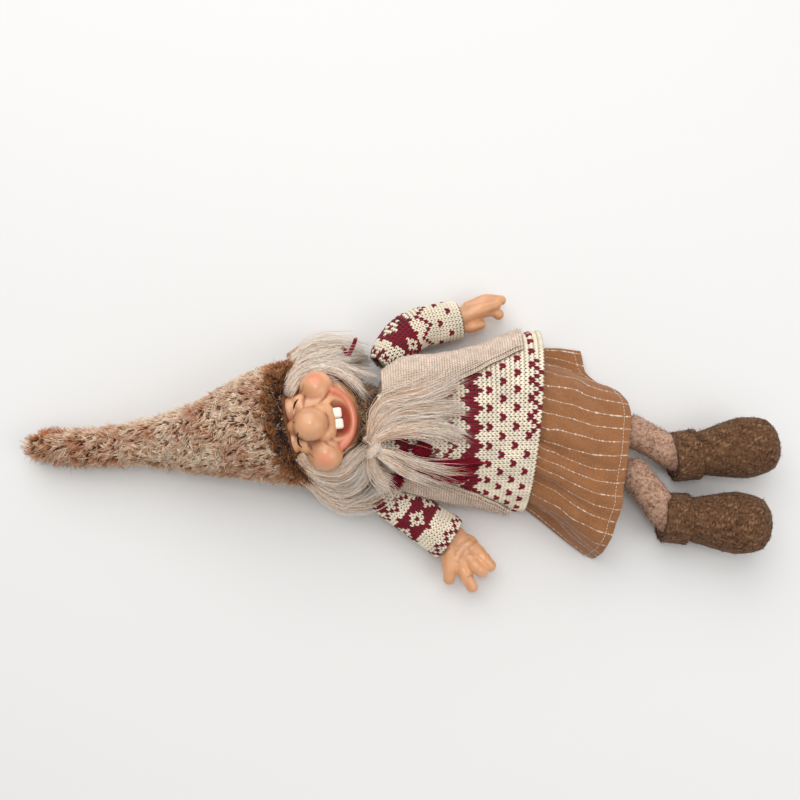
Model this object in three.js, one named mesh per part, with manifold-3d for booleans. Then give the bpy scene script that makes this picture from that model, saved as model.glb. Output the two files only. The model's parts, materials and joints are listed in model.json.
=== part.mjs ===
// Soft folk doll with a long plush hat, knitted clothes and felt boots, lying on its back.
// Millimetres. X runs from the hat's tip (-) to the boots (+), Y to the doll's left, Z up from the table.
import * as THREE from 'three';
import { mergeVertices } from 'three/addons/utils/BufferGeometryUtils.js';
import Module from 'manifold-3d';

const wasm = await Module();
wasm.setup();

// Fits and thicknesses
const FIT = 0.35;
const SWEATER_WALL = 2.4;
const VEST_WALL = 1.8;
const SKIRT_WALL = 1.2;
const ELASTIC_WALL = 1.0;
const HAT_WALL = 4.0;
const SLEEVE_WALL = 2.2;
const CUFF_WALL = 2.6;

// Torso: distance from the neck seam, middle, half width, depth, lift of the back
const NECK_X = -60;
const TORSO_SHAPE = [
  [0, 2, 15, 30, 12],
  [6, 2, 27, 40, 3],
  [16, 2, 32, 45, 0],
  [60, 2, 33, 46, 0],
  [84, 3, 35, 42.5, 3.2],
  [98, 3, 35, 42.5, 3.2],
];
const TORSO_LENGTH = 98;
const TORSO_SIDE = 0.42;
const TORSO_DOME = 0.85;
const SEAT_LENGTH = 15;
const SEAT_ROUNDING = 0.62;

// Sweater over the torso: distance from the neck, ease at the side, ease in front, height of the side, dome
const SWEATER_EASE = [
  [1.5, 7, 4, 26, 0.85],
  [10, 6, 3.3, 22, 0.85],
  [17, 8, 3.2, 20, 0.88],
  [42, 10, 3.2, 17, 0.92],
  [66, 14.5, 3.4, 13, 1.0],
  [85, 19, 7.6, 10, 1.0],
  [104, 23.5, 7.8, 8, 1.06],
];
const SWEATER_START = 1.5;
const SWEATER_LENGTH = 104;
const SWEATER_DRIFT_START = 52;
const SWEATER_HEM_DRIFT = 3;
const SWEATER_HEM_SKEW = 0.085;

// Vest: where it starts and ends from the neck, and how far its front edges lie from the middle
const VEST_START = 5;
const VEST_END = 87;
const VEST_OPENING = [
  [5, 15],
  [35, 19],
  [60, 30],
  [87, 44],
];
const VEST_SIDE_ANGLE = -32;
const VEST_BACK_SHARE = 0.84;
const VEST_EASE = 1.0;

// Skirt from its waist: drift of the middle, spread of the half width, fall of the front, fall of the side,
// bow of the hem towards the side, dome, depth of the folds
const WAIST_RISE = 12;
const WAIST_X = NECK_X + TORSO_LENGTH - WAIST_RISE;
const SKIRT_SHAPE = [
  [0, 0, 0, 0, 0, 0, 0.85, 0],
  [11, 0, 0.6, 0, 0, 0, 0.86, 0],
  [19, 0, 4, 0.3, 8, 0, 0.95, 0.3],
  [29, -4, 12, 3.5, 15, 2, 1.05, 1.2],
  [42, -9, 18, 8, 18, 8, 1.1, 1.7],
  [57, -14, 24, 13, 19, 16, 1.12, 2.1],
  [71, -19, 27.5, 17, 19, 22, 1.12, 2.3],
];
const SKIRT_LENGTH = 71;
const SKIRT_REST = 0.6;
const SKIRT_DROP = 6;
const SKIRT_FOLDS = 7;
const ELASTIC_START = 2;
const ELASTIC_WIDTH = 8;

// Legs: thighs from the seat, then shins and boots that each lie their own way
const THIGH_RADIUS = 11;
const THIGH_LENGTH = 40;
const THIGH_YAW = -26.5;
const HIP_SPREAD = 27;
const HIP_SHIFT = 1;
const HIP_HEIGHT = 25;
const KNEE_HEIGHT = 21;
const KNEE_RADIUS = 10;
const ANKLE_RADIUS = 10.8;
const ANKLE_HEIGHT = 19;
const FOOT_GRIP = 16;
const FOOT_END = 7.5;
const CALF_SHARE = 0.55;
const LEGS = {
  left: { side: 1, shinYaw: -28, shinLength: 33, bootYaw: 7 },
  right: { side: -1, shinYaw: -51, shinLength: 34, bootYaw: -5 },
};

// Boots from the ankle: distance, half width, half depth, rise of the middle
const BOOT_SHAPE = [
  [-5, 12.6, 13.6, 0],
  [10, 13.2, 14.2, 0],
  [25, 16.4, 15.2, 1.5],
  [39, 19.2, 15.4, 5],
  [49, 17.4, 13.6, 9],
];
const BOOT_TOE = 11;
const CUFF_LENGTH = 16;

// Arms: shoulder pivots, the way each sleeve lies, and sizes along it
const SHOULDER_X = -50;
const SHOULDER_SPREAD = 45;
const SHOULDER_HEIGHT = 20;
const SLEEVE_RADIUS = 12.6;
const WRIST_HEIGHT = 14;
const CUFF_RADIUS = 11.8;
const CUFF_SPREAD = 2;
const ARM_LENGTH = 49.5;
const ARM_DRAWN_UP = 4.5;
const RIGHT_ARM_LENGTH = ARM_LENGTH - ARM_DRAWN_UP;
const ELBOW_SHARE = 0.64;
const ELBOW_OUT = 7.5;
const SLEEVE_RINGS = 6;
const ARMS = {
  left: { side: 1, yaw: 29, length: ARM_LENGTH, elbow: ELBOW_OUT, spread: 0, handYaw: -6 },
  right: { side: -1, yaw: -35, length: RIGHT_ARM_LENGTH, elbow: 0, spread: CUFF_SPREAD, handYaw: -25 },
};
const ARM_INWARD = 5;
const ARM_SWING_ROOM = 1;
const SHOULDER_ROOM = 0.6;
const WRIST_RADIUS = 6.2;
const WRIST_PEG = 7;
const WRIST_TUCK = 4;
const WRIST_FLATNESS = 0.9;
const WRIST_IN_PALM = 2;
const PALM_SHAPE = [
  [0, 6.2, 5.2],
  [8.5, 7.7, 5.2],
  [16, 8.6, 4.4],
];
const PALM_END = 3.6;
const KNUCKLES = 13.7;
const FINGER_RADIUS = 3.1;
// Finger along its length: share of the length, rise, share of the radius
const FINGER_SHAPE = [
  [0, 0, 1.15],
  [0.55, 1.4, 1],
  [0.82, 0.6, 0.92],
];
const FINGER_ROOT = 0.6;
const FINGER_SPACING = 5.4;
const FIRST_FINGER = 14;
const MIDDLE_FINGER = 17;
const LAST_FINGER = 15;
const FINGERS = [
  { across: -FINGER_SPACING, spread: -16, length: FIRST_FINGER },
  { across: 0, spread: -2, length: MIDDLE_FINGER },
  { across: FINGER_SPACING, spread: 12, length: LAST_FINGER },
];
const THUMB = { across: -6, along: 7, spread: -48, length: 14, radius: 3.4 };

// Head: a stuffed ball on the neck's axis, seen as distance from the neck and radius
const HEAD_Y = 2;
const HEAD_HEIGHT = 32;
const HEAD_RADIUS = 27;
const HEAD_SHAPE = [
  [0, 20.5],
  [5, 22.5],
  [12, 24.2],
  [22, 26.2],
  [32, HEAD_RADIUS],
  [44, 25],
  [54, 19.4],
  [60, 12.5],
];
const HEAD_LENGTH = 64;
const CROWN_ROUNDING = 4;

// Face: an oval shell on the head, with its features placed down and to the left from the nose
const FACE_CENTRE = 32;
const FACE_HALF_LENGTH = 28;
const FACE_HALF_WIDTH = 30;
const FACE_HALF_DEPTH = 30;
const FACE_EDGE = 2;
const FACE_TURN = 8;
const NOSE = { along: -5, across: -2.5, rise: 31, radius: 9 };
const CHEEKS = { along: 0.8, across: 19.6, rise: 18.5, radius: 10.2 };
const BROW = { along: -15.5, across: 8.5, rise: 20.5, radius: 6.5 };
const MOUTH = { along: 12, rise: 27, halfLength: 6.6, halfWidth: 13.5, depth: 11 };
const LIP = { radius: 3.6, rise: 22.5, reach: 8.6, sweep: 74 };
const TEETH = { along: 9.5, fromMiddle: 3.6, rise: 23, halfWidth: 3.3, halfLength: 4.6, halfDepth: 2.6 };

// Hat: distance from the brim's edge, middle across, middle height, half width, half depth, slant, yaw
const BRIM_X = -104;
const BRIM_WIDTH = 9;
const BRIM_FULLNESS = 1.2;
const HAT_SHAPE = [
  [0, 3.5, 30.2, 37.6, 29.4, 0.42, -0.17],
  [9, 3.2, 30.2, 38, 29.4, 0.42, -0.17],
  [22, 1.5, 30, 36.4, 29.2, 0.36, -0.14],
  [43, -1, 27.6, 30.4, 26.8, 0.25, -0.1],
  [64, -5, 24.2, 23.6, 23.2, 0.15, -0.05],
  [96, -6.5, 18.4, 15.6, 17.2, 0.06, 0],
  [128, -9.2, 14.4, 12.8, 13.4, 0, 0],
  [154, -9, 12.4, 11.4, 11.4, 0, 0],
  [168, -8, 11.4, 9.8, 10.2, 0, 0],
];
const HAT_LENGTH = 168;
const HAT_TIP = 10;
const HAT_BEND = 92;
const STUFFING_SEAT = 2;

// Hair: hanks beside the face and locks over the chest
const HAIR_LEFT_HALF_WIDTH = 12.5;
const HAIR_RIGHT_HALF_WIDTH = 10;
const HAIR_HALF_DEPTH = 12;
const HAIR_HEIGHT = 25;
const HAIR_TUCK = 2.8;
// Hanks and knot: place along, shift from the middle, lift, share of the half width, share of the half depth
const LEFT_HANK = [
  [-97, 0, 0, 0.75, 0.75],
  [-88, 1, -2, 1, 1],
  [-77, 1.5, -4, 0.72, 0.72],
  [-69, -3, -5, 0.75, 0.75],
];
const RIGHT_HANK = [
  [-89, 0, -1, 0.8, 0.8],
  [-80, -1, -2, 1, 1],
  [-71, 2, 8, 0.85, 0.7],
  [-65, 9, 20, 0.6, 0.45],
];
const HANK_END = 4;
const KNOT_Y = -14;
const KNOT_HEIGHT = 54.5;
const KNOT_RADIUS = 7.2;
const KNOT_SHAPE = [
  [-65.5, -2, -2, 0.8, 0.8],
  [-62.5, 0, 0, 1, 1],
  [-58.5, 2, 1, 0.85, 0.8],
];
const KNOT_END = 3.6;
const LOCK_HALF_DEPTH = 3.6;
const UPPER_SETTLE = 3.9;
const LOWER_SETTLE = 6.4;
const UPPER_LOCK = [
  [-50, -6, 6],
  [-42, 6, 8.5],
  [-26, 9, 9.5],
  [-10, 5, 9],
  [2, -1, 5.5],
];
const LOWER_LOCK = [
  [-49.5, -21, 4.5],
  [-40, -26, 5],
  [-28, -31, 4.8],
  [-16, -35, 3],
];
const LOCK_ROOT = 2;
const LOCK_TIP = 6;
const TIE_RADIUS = 1.4;
const TIE_END = 11;
const TIE_END_LEANS = [5, -3.5];
const TIE_END_DROP = 0.5;
// Yarn tassel and tuft on the vest: place along, place across, half width
const TASSEL = [
  [-36, -15.5, 3],
  [-28, -18.5, 4.6],
  [-17, -24.5, 4.8],
  [-5, -27.5, 6],
];
const TASSEL_HALF_DEPTH = 2.6;
const TASSEL_SETTLE = 4;
const TUFT = [
  [-48, -29.5, 2.6],
  [-47, -32.5, 3.6],
  [-46, -35.5, 2.6],
];
const TUFT_HALF_DEPTH = 3;
const TUFT_SETTLE = 9.6;

// Facets
const BODY_SIDES = 24;
const CLOTH_SIDES = 60;
const LIMB_SIDES = 12;
const SHOULDER_SIDES = 24;
const HAT_SIDES = 18;
const BOOT_SIDES = 14;
const CAP_RINGS = 3;
const NEAREST_RINGS = 2;
const BALL_RINGS = 0.7;

const point = (x, y, z) => new THREE.Vector3(x, y, z);
const radians = THREE.MathUtils.degToRad;

// Smooth curve through the rows of a shape table: gives the row at any distance.
function shapeAt(rows, distance) {
  const last = rows.length - 1;
  let i = rows.findIndex((row) => row[0] > distance) - 1;
  if (i === -2) i = last - 1;
  i = Math.max(0, i);
  const span = rows[i + 1][0] - rows[i][0];
  const t = THREE.MathUtils.clamp((distance - rows[i][0]) / span, 0, 1);
  const slope = (k, c) => {
    const before = rows[Math.max(0, k - 1)];
    const after = rows[Math.min(last, k + 1)];
    return (after[c] - before[c]) / (after[0] - before[0]);
  };
  return rows[i].map((value, c) => {
    const rise = rows[i + 1][c] - value;
    const a = slope(i, c) * span - rise;
    const b = rise - slope(i + 1, c) * span;
    return value + rise * t + t * (1 - t) * (a * (1 - t) + b * t);
  });
}

// Distances for rings: the rows of a shape table within the given ends, and the points half way if it curves.
function stationsOf(rows, from, to, curved = false) {
  const own = rows.map((row) => row[0]);
  const between = curved ? own.slice(1).map((d, i) => (d + own[i]) / 2) : [];
  const inside = [...own, ...between].filter((d) => d > from + NEAREST_RINGS && d < to - NEAREST_RINGS);
  return [from, ...inside.sort((a, b) => a - b), to];
}

const steps = (from, to, count) =>
  Array.from({ length: count + 1 }, (_, i) => from + ((to - from) * i) / count);

// Closed solid through rings of equal count, its ends closed by fans, or joined into a loop.
function loft(rings, { loop = false, tips = [] } = {}) {
  const sides = rings[0].length;
  const vertices = rings.flat();
  const faces = [];
  const spans = loop ? rings.length : rings.length - 1;
  for (let r = 0; r < spans; r++) {
    const here = r * sides;
    const next = ((r + 1) % rings.length) * sides;
    for (let k = 0; k < sides; k++) {
      const k1 = (k + 1) % sides;
      faces.push(here + k, here + k1, next + k, here + k1, next + k1, next + k);
    }
  }
  if (!loop) {
    const middle = (ring) => ring.reduce((sum, p) => sum.add(p), point(0, 0, 0)).divideScalar(sides);
    const lastRing = (rings.length - 1) * sides;
    const first = vertices.push(tips[0] ?? middle(rings[0])) - 1;
    const end = vertices.push(tips[1] ?? middle(rings.at(-1))) - 1;
    for (let k = 0; k < sides; k++) {
      const k1 = (k + 1) % sides;
      faces.push(first, k1, k, end, lastRing + k, lastRing + k1);
    }
  }
  const geometry = new THREE.BufferGeometry().setFromPoints(vertices);
  geometry.setIndex(faces);
  return geometry;
}

// Slab between two grids of points of the same rows and columns.
function slab(inner, outer) {
  const rows = inner.length;
  const columns = inner[0].length;
  const vertices = [...inner.flat(), ...outer.flat()];
  const under = (r, c) => r * columns + c;
  const over = (r, c) => rows * columns + under(r, c);
  const faces = [];
  const quad = (a, b, c, d) => faces.push(a, b, c, a, c, d);
  for (let r = 0; r < rows - 1; r++) {
    for (let c = 0; c < columns - 1; c++) {
      quad(over(r, c), over(r + 1, c), over(r + 1, c + 1), over(r, c + 1));
      quad(under(r, c), under(r, c + 1), under(r + 1, c + 1), under(r + 1, c));
    }
    quad(under(r, 0), under(r + 1, 0), over(r + 1, 0), over(r, 0));
    quad(under(r + 1, columns - 1), under(r, columns - 1), over(r, columns - 1), over(r + 1, columns - 1));
  }
  for (let c = 0; c < columns - 1; c++) {
    quad(under(0, c + 1), under(0, c), over(0, c), over(0, c + 1));
    quad(under(rows - 1, c), under(rows - 1, c + 1), over(rows - 1, c + 1), over(rows - 1, c));
  }
  const geometry = new THREE.BufferGeometry().setFromPoints(vertices);
  geometry.setIndex(faces);
  return geometry;
}

// Oval rings along a curve through stations { at, wide, deep }, with round ends where a cap length is given.
function sweepRings(stations, { count = 8, sides = LIMB_SIDES, capStart = 0, capEnd = 0 } = {}) {
  const path = new THREE.CatmullRomCurve3(stations.map((s) => s.at));
  const sizes = new THREE.CatmullRomCurve3(stations.map((s) => point(s.wide, s.deep, 0)));
  const frameAt = (u) => {
    const tangent = path.getTangent(u);
    const across = point(0, 0, 1).cross(tangent).normalize();
    const up = tangent.clone().cross(across);
    return { at: path.getPoint(u), size: sizes.getPoint(u), tangent, across, up };
  };
  const ring = (frame, scale, shift) =>
    steps(0, 2 * Math.PI, sides).slice(0, -1).map((angle) => frame.at.clone()
      .addScaledVector(frame.tangent, shift)
      .addScaledVector(frame.across, frame.size.x * scale * Math.cos(angle))
      .addScaledVector(frame.up, frame.size.y * scale * Math.sin(angle)));
  const rings = steps(0, 1, count).map((u) => ring(frameAt(u), 1, 0));
  const tips = [];
  const cap = (frame, length, sign) => steps(0, Math.PI / 2, CAP_RINGS).slice(1, -1).map((angle) =>
    ring(frame, Math.cos(angle), sign * length * Math.sin(angle)));
  if (capStart) {
    const frame = frameAt(0);
    rings.unshift(...cap(frame, capStart, -1).reverse());
    tips[0] = frame.at.clone().addScaledVector(frame.tangent, -capStart);
  }
  if (capEnd) {
    const frame = frameAt(1);
    rings.push(...cap(frame, capEnd, 1));
    tips[1] = frame.at.clone().addScaledVector(frame.tangent, capEnd);
  }
  return { rings, tips };
}

function sweep(stations, options) {
  const { rings, tips } = sweepRings(stations, options);
  return loft(rings, { tips });
}

const grown = (stations, by) => stations.map((s) => ({ at: s.at, wide: s.wide + by, deep: s.deep + by }));

// Cup: a wall along stations that run from the open mouth to a round closed end.
function cup(stations, wall, options) {
  const outer = sweepRings(stations, options);
  const inner = sweepRings(grown(stations, -wall), { ...options, capEnd: options.capEnd - wall });
  return loft([...inner.rings.reverse(), ...outer.rings], { tips: [inner.tips[1], outer.tips[1]] });
}

// Joins and cuts
function solid(geometry) {
  const bare = geometry.clone();
  bare.deleteAttribute('normal');
  bare.deleteAttribute('uv');
  const merged = mergeVertices(bare, 1e-4);
  const vertProperties = new Float32Array(merged.attributes.position.array);
  const triVerts = new Uint32Array(merged.index.array);
  return new wasm.Manifold(new wasm.Mesh({ numProp: 3, vertProperties, triVerts }));
}

function geometryOf(body) {
  const mesh = body.getMesh();
  const geometry = new THREE.BufferGeometry();
  geometry.setAttribute('position', new THREE.BufferAttribute(new Float32Array(mesh.vertProperties), 3));
  geometry.setIndex(new THREE.BufferAttribute(new Uint32Array(mesh.triVerts), 1));
  return geometry;
}

const joined = (geometries) => geometries.map(solid).reduce((sum, body) => sum.add(body));
const cut = (geometry, cutters) =>
  geometryOf(cutters.reduce((body, cutter) => body.subtract(cutter), solid(geometry)));

// Doll assembly
const doll = new THREE.Group();

function place(name, geometry, finish) {
  const mesh = new THREE.Mesh(geometry, new THREE.MeshStandardMaterial({ ...finish, metalness: 0 }));
  mesh.name = name;
  doll.add(mesh);
}

const CREAM_KNIT = { color: 0xddcfb8, roughness: 0.95 };
const BEIGE_KNIT = { color: 0xc9b9a4, roughness: 0.95 };
const CALICO = { color: 0xe4dccd, roughness: 0.9 };
const SKIN = { color: 0xd79a6c, roughness: 0.42 };
const PLUSH = { color: 0x9a7455, roughness: 0.97 };
const DARK_PLUSH = { color: 0x5f4028, roughness: 0.97 };
const HAIR = { color: 0xb9ab9b, roughness: 0.6 };
const MAROON = { color: 0x6f1526, roughness: 0.95 };
const COTTON = { color: 0x8f6540, roughness: 0.9 };
const LEG_FELT = { color: 0xb09680, roughness: 0.95 };
const BOOT_FELT = { color: 0x6b4c33, roughness: 0.97 };
const WHITE_FILL = { color: 0xeeeae2, roughness: 0.9 };

// Levels of the cloths that the doll lies on
const SWEATER_BACK = VEST_WALL + FIT;
const TORSO_BACK = SWEATER_BACK + SWEATER_WALL + FIT;

// Cross-section of a lying body: domed front, sides that lie low, and a back flattened by the table.
const BACK_FLATNESS = 0.4;
function lyingPoint(x, { mid, half, top, side, back, dome }, angle, fold = 0) {
  const reach = Math.cos(angle);
  const rise = Math.sin(angle);
  const front = side + (top - side) * Math.max(0, rise) ** dome + fold;
  const behind = side - (side - back) * Math.max(0, -rise) ** BACK_FLATNESS;
  return point(x, mid + half * reach, rise >= 0 ? front : behind);
}

const turns = (sides) => steps(0, 2 * Math.PI, sides).slice(0, -1);
const lyingRing = (x, section) => turns(BODY_SIDES).map((angle) => lyingPoint(x, section, angle));
const resized = (section, by) => ({
  ...section,
  half: section.half + by,
  top: section.top + by,
  back: section.back - by,
});

// Torso bag and seat pouch
function torsoSection(distance) {
  const [, mid, half, depth, lift] = shapeAt(TORSO_SHAPE, distance);
  const back = TORSO_BACK + lift;
  return { mid, half, back, top: back + depth, side: back + depth * TORSO_SIDE, dome: TORSO_DOME };
}

const TORSO_STATIONS = stationsOf(TORSO_SHAPE, FIT / 2, TORSO_LENGTH);

function torsoBag(by = 0) {
  return loft(TORSO_STATIONS.map((d) => lyingRing(NECK_X + d, resized(torsoSection(d), by))));
}

const SEAT_START_X = NECK_X + TORSO_LENGTH + FIT;
const SEAT_END_X = SEAT_START_X + SEAT_LENGTH;

function seatPouch() {
  const base = torsoSection(TORSO_LENGTH);
  const middle = (base.top + base.back) / 2;
  const rings = steps(0, 1, 4).map((t) => {
    const shrink = Math.sqrt(1 - (t * SEAT_ROUNDING) ** 2) - (1 - Math.sqrt(1 - SEAT_ROUNDING ** 2)) * t ** 4;
    const section = {
      ...base,
      half: base.half * shrink,
      top: middle + (base.top - middle) * shrink,
      back: middle - (middle - base.back) * shrink,
    };
    return lyingRing(SEAT_START_X + SEAT_LENGTH * t, section);
  });
  return loft(rings);
}

place('torso_bag', torsoBag(), CALICO);
place('seat_pouch', seatPouch(), CALICO);

// Arms: sleeve outlines run from the cuff to the shoulder, so that the cuff is the open mouth
function armLine(arm) {
  const yaw = radians(arm.yaw);
  const pivot = point(SHOULDER_X, HEAD_Y + arm.side * SHOULDER_SPREAD, SHOULDER_HEIGHT);
  const cuff = pivot.clone().add(point(Math.cos(yaw) * arm.length, Math.sin(yaw) * arm.length, 0));
  cuff.z = WRIST_HEIGHT;
  return { pivot, cuff };
}

function sleeveStations(arm) {
  const { pivot, cuff } = armLine(arm);
  const yaw = radians(arm.yaw);
  const outward = point(-Math.sin(yaw), Math.cos(yaw), 0).multiplyScalar(arm.side * arm.elbow);
  const bend = cuff.clone().lerp(pivot, ELBOW_SHARE).add(outward);
  return [
    { at: cuff, wide: CUFF_RADIUS + arm.spread, deep: CUFF_RADIUS },
    { at: bend, wide: SLEEVE_RADIUS, deep: SLEEVE_RADIUS },
    { at: pivot, wide: SLEEVE_RADIUS, deep: SLEEVE_RADIUS },
  ];
}

function armCore(arm) {
  const stations = grown(sleeveStations(arm), -SLEEVE_WALL - FIT);
  const capEnd = SLEEVE_RADIUS - SLEEVE_WALL - FIT;
  const { rings, tips } = sweepRings(stations, { count: SLEEVE_RINGS, capEnd });
  const inside = SLEEVE_RINGS * (WRIST_PEG - WRIST_TUCK) / arm.length;
  rings[0] = rings[0].map((at, k) => at.clone().lerp(rings[1][k], inside));
  return loft(rings, { tips });
}

// Room that a sleeve needs in the sweater and the vest: at rest, turned in, and round its shoulder
function armholes() {
  return Object.values(ARMS).map((arm) => {
    const { pivot } = armLine(arm);
    const capEnd = SLEEVE_RADIUS + FIT;
    const outline = sweep(grown(sleeveStations(arm), FIT), { count: SLEEVE_RINGS, capEnd });
    const inward = outline.clone().translate(-pivot.x, -pivot.y, 0);
    inward.rotateZ(radians(-arm.side * (ARM_INWARD + ARM_SWING_ROOM))).translate(pivot.x, pivot.y, 0);
    const radius = SLEEVE_RADIUS + SHOULDER_ROOM;
    const shoulder = new THREE.SphereGeometry(radius, SHOULDER_SIDES, SHOULDER_SIDES / 2);
    shoulder.rotateX(Math.PI / 2).translate(pivot.x, pivot.y, pivot.z);
    return joined([outline, inward, shoulder]);
  });
}

function atWrist(arm, geometry) {
  const { cuff } = armLine(arm);
  return geometry.rotateZ(radians(arm.yaw + arm.handYaw)).translate(cuff.x, cuff.y, cuff.z);
}

function wristPeg(by = 0) {
  const radius = WRIST_RADIUS + by;
  const ends = [-WRIST_PEG - by, WRIST_IN_PALM].map((along) => ({
    at: point(along, 0, 0),
    wide: radius,
    deep: radius * WRIST_FLATNESS,
  }));
  return sweep(ends, { count: 1 });
}

function handGeometry(arm) {
  const hand = (along, across, rise = 0) => point(along, across * arm.side, rise);
  const palm = PALM_SHAPE.map(([along, wide, deep]) => ({ at: hand(along, 0), wide, deep }));
  const digit = ({ across, spread, length, along = KNUCKLES, radius = FINGER_RADIUS }) => {
    const turn = radians(spread);
    const stations = FINGER_SHAPE.map(([share, rise, fullness]) => ({
      at: hand(along + Math.cos(turn) * length * share, across + Math.sin(turn) * length * share, rise),
      wide: radius * fullness,
      deep: radius * fullness,
    }));
    return sweep(stations, { count: 2, sides: 6, capStart: radius * FINGER_ROOT, capEnd: radius });
  };
  const pieces = [
    sweep(palm, { count: 4, capStart: FIT, capEnd: PALM_END }),
    wristPeg(),
    ...FINGERS.map(digit),
    digit(THUMB),
  ];
  return atWrist(arm, geometryOf(joined(pieces)));
}

for (const [name, arm] of Object.entries(ARMS)) {
  place(`arm_${name}`, cut(armCore(arm), [solid(atWrist(arm, wristPeg(FIT)))]), CALICO);
  const sleeve = cup(sleeveStations(arm), SLEEVE_WALL, { count: SLEEVE_RINGS, capEnd: SLEEVE_RADIUS });
  place(`sleeve_${name}`, sleeve, CREAM_KNIT);
  place(`hand_${name}`, handGeometry(arm), SKIN);
}

// Sweater and vest
function sweaterSection(distance) {
  const torso = torsoSection(Math.min(distance, TORSO_LENGTH));
  const [, sideEase, frontEase, side, dome] = shapeAt(SWEATER_EASE, distance);
  const hemShare = THREE.MathUtils.smoothstep(distance, SWEATER_DRIFT_START, SWEATER_LENGTH);
  return {
    mid: torso.mid + SWEATER_HEM_DRIFT * hemShare,
    half: torso.half + sideEase,
    top: torso.top + frontEase,
    side,
    dome,
    back: SWEATER_BACK,
    skew: SWEATER_HEM_SKEW * hemShare,
  };
}

// Point on the sweater's outside, or offset from it
function sweaterPoint(distance, angle, offset = 0) {
  const section = sweaterSection(distance);
  const at = lyingPoint(NECK_X + distance, resized(section, offset), angle);
  at.x += section.skew * (at.y - section.mid);
  return at;
}

function sweaterHeight(x, y) {
  const section = sweaterSection(x - NECK_X);
  const reach = (y - section.mid) / section.half;
  return section.side + (section.top - section.side) * Math.sqrt(1 - reach * reach) ** section.dome;
}

const ARMHOLES = armholes();

const SWEATER_STATIONS = stationsOf(SWEATER_EASE, SWEATER_START, SWEATER_LENGTH, true);
const sweaterRings = (offset) => SWEATER_STATIONS.map((d) =>
  turns(BODY_SIDES).map((angle) => sweaterPoint(d, angle, offset)));

function sweater() {
  const tube = loft([...sweaterRings(0), ...sweaterRings(-SWEATER_WALL).reverse()], { loop: true });
  return cut(tube, [...ARMHOLES, solid(torsoBag(FIT))]);
}

function vestFront(side) {
  const rows = steps(VEST_START, VEST_END, 8);
  const layer = (offset) => rows.map((d) => {
    const section = sweaterSection(d);
    const [, opening] = shapeAt(VEST_OPENING, d);
    const frontAngle = Math.acos(opening / section.half);
    return steps(frontAngle, radians(VEST_SIDE_ANGLE), 7).map((angle) =>
      sweaterPoint(d, side > 0 ? angle : Math.PI - angle, offset));
  });
  const inner = layer(VEST_EASE);
  const outer = layer(VEST_EASE + VEST_WALL);
  return cut(side > 0 ? slab(inner, outer) : slab(outer, inner), ARMHOLES);
}

function vestBack() {
  const rows = steps(VEST_START, VEST_END, 5);
  const layer = (z) => rows.map((d) => {
    const { mid, half } = sweaterSection(d);
    const shares = steps(-VEST_BACK_SHARE, VEST_BACK_SHARE, 2);
    return shares.map((share) => point(NECK_X + d, mid + half * share, z));
  });
  return slab(layer(0), layer(VEST_WALL));
}

place('sweater', sweater(), CREAM_KNIT);
place('vest_front_left', vestFront(1), BEIGE_KNIT);
place('vest_front_right', vestFront(-1), BEIGE_KNIT);
place('vest_back', vestBack(), BEIGE_KNIT);

// Skirt with its elastic
const ELASTIC_OFFSET = FIT + ELASTIC_WALL;
const SKIRT_OFFSET = ELASTIC_OFFSET + FIT + SKIRT_WALL;

// The skirt comes out from under the sweater here, and drops to the table.
const SKIRT_OUT = NECK_X + SWEATER_LENGTH - WAIST_X + SWEATER_HEM_SKEW * sweaterSection(SWEATER_LENGTH).half;

function skirtSection(distance) {
  const waist = resized(torsoSection(Math.min(WAIST_X + distance - NECK_X, TORSO_LENGTH)), SKIRT_OFFSET);
  const [, drift, spread, fall, sideFall, bow, dome, fold] = shapeAt(SKIRT_SHAPE, distance);
  const dropped = THREE.MathUtils.smoothstep(distance, SKIRT_OUT, SKIRT_OUT + SKIRT_DROP);
  return {
    mid: waist.mid + drift,
    half: waist.half + spread,
    top: waist.top - fall,
    side: waist.side - sideFall,
    back: THREE.MathUtils.lerp(waist.back, SKIRT_REST, dropped),
    bow,
    dome,
    fold,
  };
}

function skirt() {
  const drop = [SKIRT_OUT, SKIRT_OUT + SKIRT_DROP];
  const shaped = SKIRT_SHAPE.map((row) => row[0]).filter((d) => d < drop[0] || d > drop[1] + NEAREST_RINGS);
  const stations = [...shaped.filter((d) => d < SKIRT_LENGTH), ...drop, SKIRT_LENGTH].sort((a, b) => a - b);
  const layer = (offset) => stations.map((d) => {
    const section = skirtSection(d);
    return turns(CLOTH_SIDES).map((angle) => {
      const fold = section.fold * Math.cos(2 * SKIRT_FOLDS * angle) * Math.max(0, Math.sin(angle)) ** 0.5;
      const at = lyingPoint(WAIST_X + d, resized(section, offset), angle, fold);
      at.x -= section.bow * Math.cos(angle) ** 2;
      return at;
    });
  });
  return loft([...layer(0), ...layer(-SKIRT_WALL).reverse()], { loop: true });
}

function waistElastic() {
  const stations = [ELASTIC_START, ELASTIC_START + ELASTIC_WIDTH];
  const layer = (offset) => stations.map((d) =>
    lyingRing(WAIST_X + d, resized(torsoSection(WAIST_X + d - NECK_X), offset)));
  return loft([...layer(ELASTIC_OFFSET), ...layer(FIT).reverse()], { loop: true });
}

place('skirt', skirt(), COTTON);
place('waist_elastic', waistElastic(), WHITE_FILL);

// Legs and boots
const HIP_X = SEAT_END_X + FIT + THIGH_RADIUS;
const HIP_Y = torsoSection(TORSO_LENGTH).mid - HIP_SHIFT;
const BOOT_HEIGHT = BOOT_SHAPE[1][2] + FIT + CUFF_WALL + FIT;
const heading = (yaw) => point(Math.cos(radians(yaw)), Math.sin(radians(yaw)), 0);

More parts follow.
